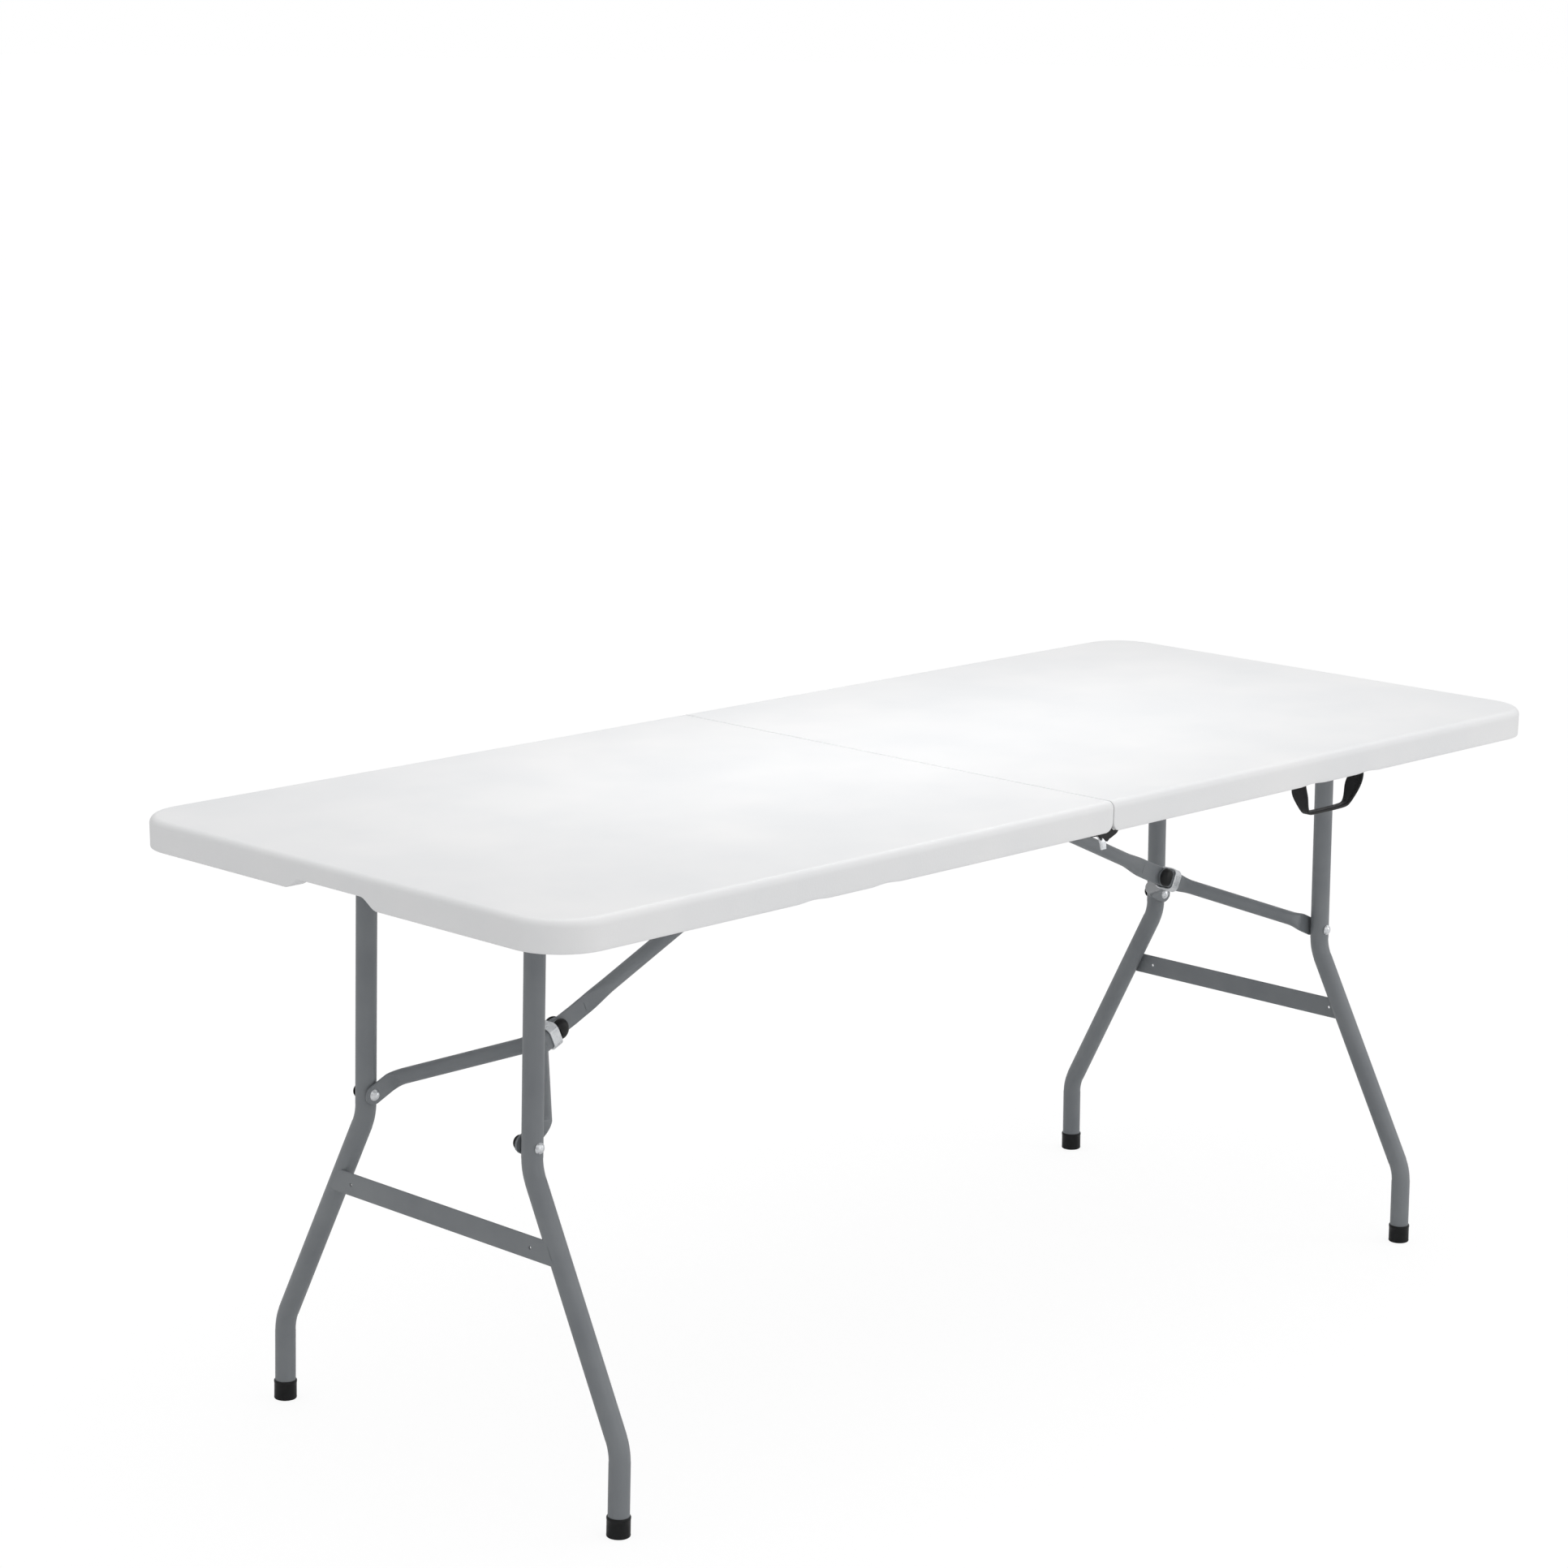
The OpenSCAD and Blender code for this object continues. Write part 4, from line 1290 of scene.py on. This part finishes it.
        # u, y, turn, half thickness, half height, corner
        rows: list[tuple[float, float, float, float, float, float]] = []
        for u in (*(-back * share for share in self.tongue_shares), 0.0, self.tongue_past):
            reach = sqrt(max(0.0, self.arm_half_h**2 - u * u)) if u < 0 else self.arm_half_h
            h = max(reach, self.tongue_least_h)
            rows.append((u, tongue_y, 0, self.tongue_t / 2, h, self.tongue_corner))
        for u, corner in zip((self.oval_from, self.oval_to - self.oval_short), self.oval_corners):
            rows.append((u, oval_y, 0, self.oval_half_t, self.arm_half_h, corner))
        for i in range(self.turn_steps + 1):
            t = i / self.turn_steps
            a = slope * smooth_step(t)
            u = self.oval_to + self.turn_l * t
            y = oval_y + self.turn_l * tan(slope) * t * t * self.turn_give
            h = blend(self.arm_half_h, self.tube_r, smooth_step(t))
            w = blend(self.oval_half_t, self.tube_r, smooth_step(t))
            rows.append((u, y, a, w, h, min(w, h)))
        leave = rows[-1]
        press = self.press_l
        far = Vector((self.turn_far - press, tip_y - press * tan(slope) * self.press_give, 0))
        for t in self.run_shares:
            u, y = blend(leave[0], far.x, t), blend(leave[1], far.y, t)
            rows.append((u, y, slope, self.tube_r, self.tube_r, self.tube_r))
        for i in range(1, self.press_steps + 1):
            t = i / self.press_steps
            a = slope * (1 - smooth_step(t))
            u = blend(far.x, self.turn_far + self.press_past, t)
            y = blend(far.y, tip_y, 1 - (1 - t) ** 2)
            w = blend(self.tube_r, self.tip_t / 2, smooth_step(t))
            h = blend(self.tube_r, self.arm_half_h, smooth_step(t))
            rows.append((u, y, a, w, h, blend(self.tube_r, self.press_corner, smooth_step(t))))
        for s in self.tip_shares:
            u = self.arm_l + s * self.arm_half_h
            past = max(0.0, u - self.arm_l)
            reach = sqrt(max(0.0, self.arm_half_h**2 - past**2)) if s > 0 else self.arm_half_h
            h = max(reach, self.tip_least_h)
            rows.append((u, tip_y, 0, self.tip_t / 2, h, self.tip_corner))
        rings = []
        for u, y, a, w, h, corner in rows:
            across = Vector((-sin(a), cos(a), 0))
            ring = stadium_ring((u, y, 0), across, Z_AXIS, w, h, corner, self.sides)
            if row is Row.FRONT:
                ring = [(p[0], -p[1], p[2]) for p in ring]
            rings.append(ring)
        maker = MeshMaker()
        maker.loft(rings, self.frame)
        obj = maker.piece(f"{side.word}_{row.word}_arm", side)
        length = self.drill_l
        low = (self.arm_l, row.value * (self.tip_y + self.tip_t / 2) - length / 2, 0)
        cut(obj, [self.bolt_drill(side, "tip_drill", low, length)], radians(28))
        return obj

    def knuckle_covers(self, side: Side) -> bpy.types.Object:
        """Two black domes over the rivet, flattened beside the ring.

        Args:
            side: Which brace.

        Returns:
            The covers as one piece.
        """
        maker = MeshMaker()
        base = self.tongue_y + self.tongue_t
        least, gain = self.cap_side_shares
        for row in Row:
            rings = []
            for i in range(self.cap_steps + 1):
                t = i / self.cap_steps * self.cap_end
                share = sqrt(1 - t * t) ** self.cap_power
                out = base + self.cap_t * t
                limit = self.cap_side * (least + gain * share)
                ring = []
                for k in range(self.sides):
                    a = FULL_TURN * k / self.sides
                    u = min(self.cap_r * share * cos(a), limit)
                    ring.append((u, row.value * out, self.cap_r * share * sin(a)))
                rings.append(ring)
            maker.loft(rings, self.frame)
        return maker.piece(f"{side.word}_knuckle_covers", side)

    def lock_ring(self, side: Side) -> bpy.types.Object:
        """The square ring with rounded corners, its edges rolled.

        Args:
            side: Which brace.

        Returns:
            The ring.
        """
        half_in = self.ring_bore / 2
        half_out = half_in + self.ring_wall
        soft = 0.6
        ends = (self.ring_from, self.ring_from + self.ring_l)
        # place along the brace, half size and corner radius of each ring of points
        levels = [
            (ends[0] + soft, half_out, 9.0),
            (ends[0] + 0.15, half_out - soft * 0.6, 8.6),
            (ends[0], half_in + soft, 7.6),
            (ends[0] + 0.2, half_in, 7.0),
            (ends[1] - 0.2, half_in, 7.0),
            (ends[1], half_in + soft, 7.6),
            (ends[1] - 0.15, half_out - soft * 0.6, 8.6),
            (ends[1] - soft, half_out, 9.0),
        ]
        rings = [
            stadium_ring((u, 0, 0), Y_AXIS, Z_AXIS, half, half, corner, self.sides)
            for u, half, corner in levels
        ]
        maker = MeshMaker()
        maker.loft(rings, self.frame, around=True)
        return maker.piece(f"{side.word}_slide_ring", side)


# ---------------------------------------------------------------- handle and small metal


@dataclass
class CarryHandle(SubAssembly):
    """The moulded strap handle under the front rim of the right half."""

    centre: Point = (478, -331, 709)
    span: float = 124
    sides: int = 28
    # along the table, height, edge towards the front, edge towards the middle, thickness
    stations: tuple[tuple[float, float, float, float, float], ...] = (
        (-62.0, 5.0, -2.6, 2.6, 3.6),
        (-62.0, 3.8, -4.3, 4.3, 4.4),
        (-62.0, 0.0, -5.6, 5.2, 4.5),
        (-62.0, -5.0, -9.6, 5.4, 4.5),
        (-62.0, -11.0, -12.2, 6.0, 4.5),
        (-61.6, -17.0, -13.0, 8.6, 4.5),
        (-59.4, -24.0, -13.2, 11.2, 4.5),
        (-56.0, -31.0, -12.6, 11.8, 4.5),
        (-52.6, -38.5, -10.6, 9.8, 4.5),
        (-48.4, -46.0, -8.2, 7.4, 4.6),
        (-44.6, -51.2, -6.6, 6.2, 5.0),
        (-40.6, -54.3, -6.0, 6.0, 4.6),
        (-35.0, -55.2, -6.0, 6.0, 4.4),
        (-20.0, -55.6, -6.0, 6.0, 4.2),
        (0.0, -55.7, -6.0, 6.0, 4.2),
    )

    def build(self) -> None:
        """Builds the strap."""
        half = list(self.stations)
        route = half + [(-x, z, f, b, t) for x, z, f, b, t in reversed(half[:-1])]
        cx, cy, cz = self.centre
        rings = []
        for i, (x, z, front, back, thick) in enumerate(route):
            before, after = route[max(0, i - 1)], route[min(len(route) - 1, i + 1)]
            along = Vector((after[0] - before[0], 0, after[1] - before[1])).normalized()
            out = Vector((along.z, 0, -along.x))
            middle = (cx + x, cy + (front + back) / 2, cz + z)
            half_w, corner = (back - front) / 2, thick * 0.42
            rings.append(
                stadium_ring(middle, Y_AXIS, out, half_w, thick / 2, corner, self.sides)
            )
        maker = MeshMaker()
        maker.loft(rings)
        obj = maker.piece("strap_handle", Side.RIGHT, radians(50))
        soften = obj.modifiers.new("soften", "SUBSURF")
        soften.levels = soften.render_levels = 1
        self.place(obj, "handle_strap", Slot.BLACK, "handle")


# ---------------------------------------------------------------- hinge trim


@dataclass
class HingeTrim(SubAssembly):
    """The plates that show under the seam, and the cranked levers that lock the halves."""

    low_z: float = 703
    # corners of each plate: distance from the seam, and height over the rim's foot
    left_plate: tuple[tuple[float, float], ...] = (
        (-36, -0.2),
        (-12.6, -0.2),
        (-8.3, 0.8),
        (-5.0, 2.9),
        (-2.5, 6.0),
        (-1.1, 9.6),
        (-0.6, 9.6),
        (-0.6, -4.5),
        (-2.6, -9.2),
        (-5.4, -11.4),
        (-8.0, -11.0),
        (-11.5, -7.6),
        (-16, -3.0),
        (-36, -1.8),
    )
    right_plate: tuple[tuple[float, float], ...] = (
        (1.2, 4.6),
        (5.2, 2.0),
        (9.4, -0.2),
        (17, -0.3),
        (17.6, -1.6),
        (14.4, -4.6),
        (4.6, -8.6),
        (1.2, -9.6),
    )
    left_y: tuple[float, float] = (364.4, 366.0)
    right_y: tuple[float, float] = (361.9, 363.5)
    # distance from the centre line, height over the rim's foot, and both edges of the lever
    lever: tuple[tuple[float, float, float, float], ...] = (
        (339.7, 14.2, -34.5, -25.5),
        (339.7, 3.0, -30.5, -19.5),
        (340.6, -1.2, -24.0, -12.0),
        (343.2, -2.4, -21.0, -9.0),
        (355.0, -2.9, -18.6, -6.6),
        (358.2, -4.2, -17.4, -5.2),
        (359.2, -7.5, -14.8, -3.0),
        (359.5, -14.0, -12.0, -1.2),
        (359.6, -22.2, -9.8, -0.4),
    )
    lever_t: float = 2
    lever_corner: float = 0.5

    def build(self) -> None:
        """Builds both plates and the lever of each row."""
        for row in Row:
            word = row.word
            # The plates take the black finish so that they come out as dark as they look in the
            # shade under the seam: this black is painted shade.
            left = self.plate(f"{word}_left_hinge_plate", row, self.left_plate, self.left_y)
            self.place(left, "left_top", Slot.BLACK)
            right = self.plate(f"{word}_right_hinge_plate", row, self.right_plate, self.right_y)
            self.place(right, "right_top", Slot.BLACK)
            self.place(self.cranked(row), f"{word}_lever", Slot.ZINC, f"{word}_lock_lever")

    def plate(
        self, name: str, row: Row, outline: Sequence[tuple[float, float]], ys: tuple[float, float]
    ) -> bpy.types.Object:
        """A thin upright plate.

        Args:
            name: The piece's name.
            row: Which long edge it is beside.
            outline: Its corners: distance from the seam and height over the rim's foot.
            ys: Distances of its two faces from the centre line.

        Returns:
            The plate.
        """
        maker = MeshMaker()
        maker.loft([[(x, row.value * y, self.low_z + z) for x, z in outline] for y in ys])
        return maker.piece(name)

    def cranked(self, row: Row) -> bpy.types.Object:
        """The flat lever, cranked outwards so that its tip hangs just behind the rim.

        Args:
            row: Which long edge it is beside.

        Returns:
            The lever.
        """
        rings = []
        for i, (y, z, x_low, x_high) in enumerate(self.lever):
            before = self.lever[max(0, i - 1)]
            after = self.lever[min(len(self.lever) - 1, i + 1)]
            step_y, step_z = row.value * (after[0] - before[0]), after[1] - before[1]
            along = Vector((0, step_y, step_z)).normalized()
            out = Vector((0, along.z, -along.y))
            middle = ((x_low + x_high) / 2, row.value * y, self.low_z + z)
            half_w, half_t = (x_high - x_low) / 2, self.lever_t / 2
            rings.append(stadium_ring(middle, X_AXIS, out, half_w, half_t, self.lever_corner, 24))
        maker = MeshMaker()
        maker.loft(rings)
        return maker.piece(f"{row.word}_cranked_lever", Side.RIGHT, radians(50))


@dataclass
class SmallMetal(SubAssembly):
    """The CAD pieces that keep their own shape, dressed in their real finishes."""

    finishes: dict[str, Slot] = field(
        default_factory=lambda: {
            "side_rails": Slot.GREY,
            "deck_screws": Slot.ZINC,
            "pivot_brackets": Slot.ZINC,
            "brace_saddles": Slot.ZINC,
            "hinge_leaf": Slot.GREY,
            "leaf_bolts": Slot.ZINC,
            "centre_hinge_pins": Slot.ZINC,
            "pivot_tube": Slot.GREY,
            "pivot_bushes": Slot.BLACK,
            "leg_bolts": Slot.ZINC,
            "leg_cap_nut": Slot.BLACK,
            "anchor_tube": Slot.GREY,
            "knuckle_rivet": Slot.ZINC,
            "brace_cap_nut": Slot.BLACK,
            "brace_bolt_head": Slot.ZINC,
            "handle_brackets": Slot.GREY,
            "handle_pins": Slot.ZINC,
            "lock_lever": Slot.ZINC,
            "lock_lever_pins": Slot.ZINC,
        }
    )

    def build(self) -> None:
        """Dresses every CAD node that is still shown."""
        for name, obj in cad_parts.items():
            if obj.hide_render:
                continue
            kinds = [kind for kind in self.finishes if name.endswith(kind)]
            if not kinds:
                raise ValueError(f"no finish is named for {name}")
            self.paint.dress(obj, self.finishes[max(kinds, key=len)])
            self.built.append(name)


# ---------------------------------------------------------------- studio


@dataclass
class Studio:
    """A pale floor, soft lights and the camera. Sizes here are metres."""

    floor_r: float = 60
    floor_glow: float = 1.1
    glow_share: float = 0.8
    sky: tuple[tuple[float, str], ...] = ((0.0, "A8A8A8"), (0.35, "D0D0D1"), (1.0, "FFFFFF"))
    eye: Point = (-3.5354, -3.25497, 1.7246)
    yaw: float = 44.175
    pitch: float = 12.02
    roll: float = 0.716
    lens: float = 89.46
    sensor: float = 36
    bright_way: Point = (0.22, -0.18, 0.96)

    def build(self) -> None:
        """Sets up everything that isn't part of the table."""
        scene = bpy.context.scene
        scene.view_settings.view_transform = "Standard"
        scene.view_settings.look = "None"
        self.floor()
        self.world(scene)
        self.lights()
        self.camera(scene)

    def floor(self) -> None:
        """A matt white floor that also glows a little for the camera."""
        maker = MeshMaker()
        ring = ellipse_ring((0, 0, 0), X_AXIS, Y_AXIS, self.floor_r, self.floor_r, 96)
        face = [maker.bm.verts.new(Vector(p) / MM) for p in ring]
        maker.bm.faces.new(face)
        obj = maker.piece("floor")
        material = bpy.data.materials.new("matt_white_paint")
        material.use_nodes = True
        tree = material.node_tree
        tree.nodes.clear()
        paint = add_node(
            tree,
            "ShaderNodeBsdfPrincipled",
            values={
                "Base Color": linear("E6E6E6"),
                "Roughness": 0.9,
                "Specular IOR Level": 0.1,
            },
        )
        glow = add_node(
            tree,
            "ShaderNodeEmission",
            values={"Color": linear("FFFFFF"), "Strength": self.floor_glow},
        )
        path = add_node(tree, "ShaderNodeLightPath")
        share = add_node(
            tree,
            "ShaderNodeMath",
            settings={"operation": "MULTIPLY"},
            values={1: self.glow_share},
            links={0: path.outputs["Is Camera Ray"]},
        )
        both = add_node(
            tree,
            "ShaderNodeMixShader",
            links={0: share.outputs[0], 1: paint.outputs["BSDF"], 2: glow.outputs[0]},
        )
        add_node(tree, "ShaderNodeOutputMaterial", links={"Surface": both.outputs[0]})
        obj.data.materials.append(material)

    def world(self, scene: bpy.types.Scene) -> None:
        """A white room, brighter overhead than at the horizon.

        Args:
            scene: The scene to light.
        """
        world = bpy.data.worlds.new("white_room")
        scene.world = world
        world.use_nodes = True
        tree = world.node_tree
        tree.nodes.clear()
        place = add_node(tree, "ShaderNodeTexCoord")
        height = add_node(
            tree,
            "ShaderNodeVectorMath",
            settings={"operation": "DOT_PRODUCT"},
            values={1: self.bright_way},
            links={0: place.outputs["Generated"]},
        )
        ramp = add_node(tree, "ShaderNodeValToRGB", links={"Fac": height.outputs["Value"]})
        set_ramp(ramp, [(place, linear(colour)) for place, colour in self.sky])
        lit = add_node(tree, "ShaderNodeBackground", links={"Color": ramp.outputs[0]})
        seen = add_node(tree, "ShaderNodeBackground", values={"Color": linear("FFFFFF")})
        path = add_node(tree, "ShaderNodeLightPath")
        both = add_node(
            tree,
            "ShaderNodeMixShader",
            links={0: path.outputs["Is Camera Ray"], 1: lit.outputs[0], 2: seen.outputs[0]},
        )
        add_node(tree, "ShaderNodeOutputWorld", links={"Surface": both.outputs[0]})

    def softbox(
        self, name: str, at: Point, aim: Point, size: tuple[float, float], watts: float
    ) -> None:
        """Adds one rectangular soft light that the camera itself doesn't see.

        Args:
            name: The light's name.
            at: Where it is.
            aim: What it points at.
            size: Width and height.
            watts: Its power.
        """
        data = bpy.data.lights.new(name, "AREA")
        data.shape = "RECTANGLE"
        data.size, data.size_y = size
        data.energy = watts
        obj = bpy.data.objects.new(name, data)
        obj.location = at
        obj.rotation_mode = "QUATERNION"
        obj.rotation_quaternion = (Vector(aim) - Vector(at)).to_track_quat("-Z", "Y")
        obj.visible_camera = False
        bpy.context.scene.collection.objects.link(obj)

    def lights(self) -> None:
        """One broad light overhead, a low strip over the top, and slim lights round the sides."""
        self.softbox("overhead", (0.2, 0.1, 3.2), (0, 0, 0.7), (3.0, 1.6), 7)
        self.softbox("table_strip", (0.1, 0.02, 1.25), (0.1, 0.02, 0.7), (1.25, 0.05), 1.3)
        self.softbox("front_strip", (-0.6, -3.6, 1.3), (0, 0, 0.5), (0.25, 2.0), 5)
        self.softbox("end_strip", (-4.2, 0.6, 1.2), (0, 0, 0.4), (0.25, 2.0), 3)
        self.softbox("far_strip", (2.6, -2.4, 1.2), (0, 0, 0.4), (0.2, 2.0), 7)

    def camera(self, scene: bpy.types.Scene) -> None:
        """Sets the camera at a standing person's view of the near corner.

        Args:
            scene: The scene that it looks at.
        """
        yaw, pitch, roll = radians(self.yaw), radians(self.pitch), radians(self.roll)
        ahead = Vector((cos(pitch) * cos(yaw), cos(pitch) * sin(yaw), -sin(pitch)))
        right = Vector((sin(yaw), -cos(yaw), 0))
        up = right.cross(ahead)
        x_axis = right * cos(roll) + up * sin(roll)
        y_axis = up * cos(roll) - right * sin(roll)
        data = bpy.data.cameras.new("camera")
        data.lens, data.sensor_width = self.lens, self.sensor
        data.clip_start, data.clip_end = 0.05, 400
        obj = bpy.data.objects.new("camera", data)
        turn = Matrix((x_axis, y_axis, -ahead)).transposed().to_4x4()
        obj.matrix_world = Matrix.Translation(self.eye) @ turn
        scene.collection.objects.link(obj)
        scene.camera = obj


def main() -> None:
    """Builds every sub-assembly in order and reports its pieces."""
    logging.basicConfig(level=logging.INFO, format="%(name)s: %(message)s")
    studio = Studio()
    studio.build()
    paint = Paintshop()
    for kind in (TableTop, LegFrames, Braces, CarryHandle, HingeTrim, SmallMetal):
        part = kind(paint)
        part.build()
        LOG.info("%s: %s", kind.__name__, ", ".join(part.built))


if __name__ == "__main__":
    main()
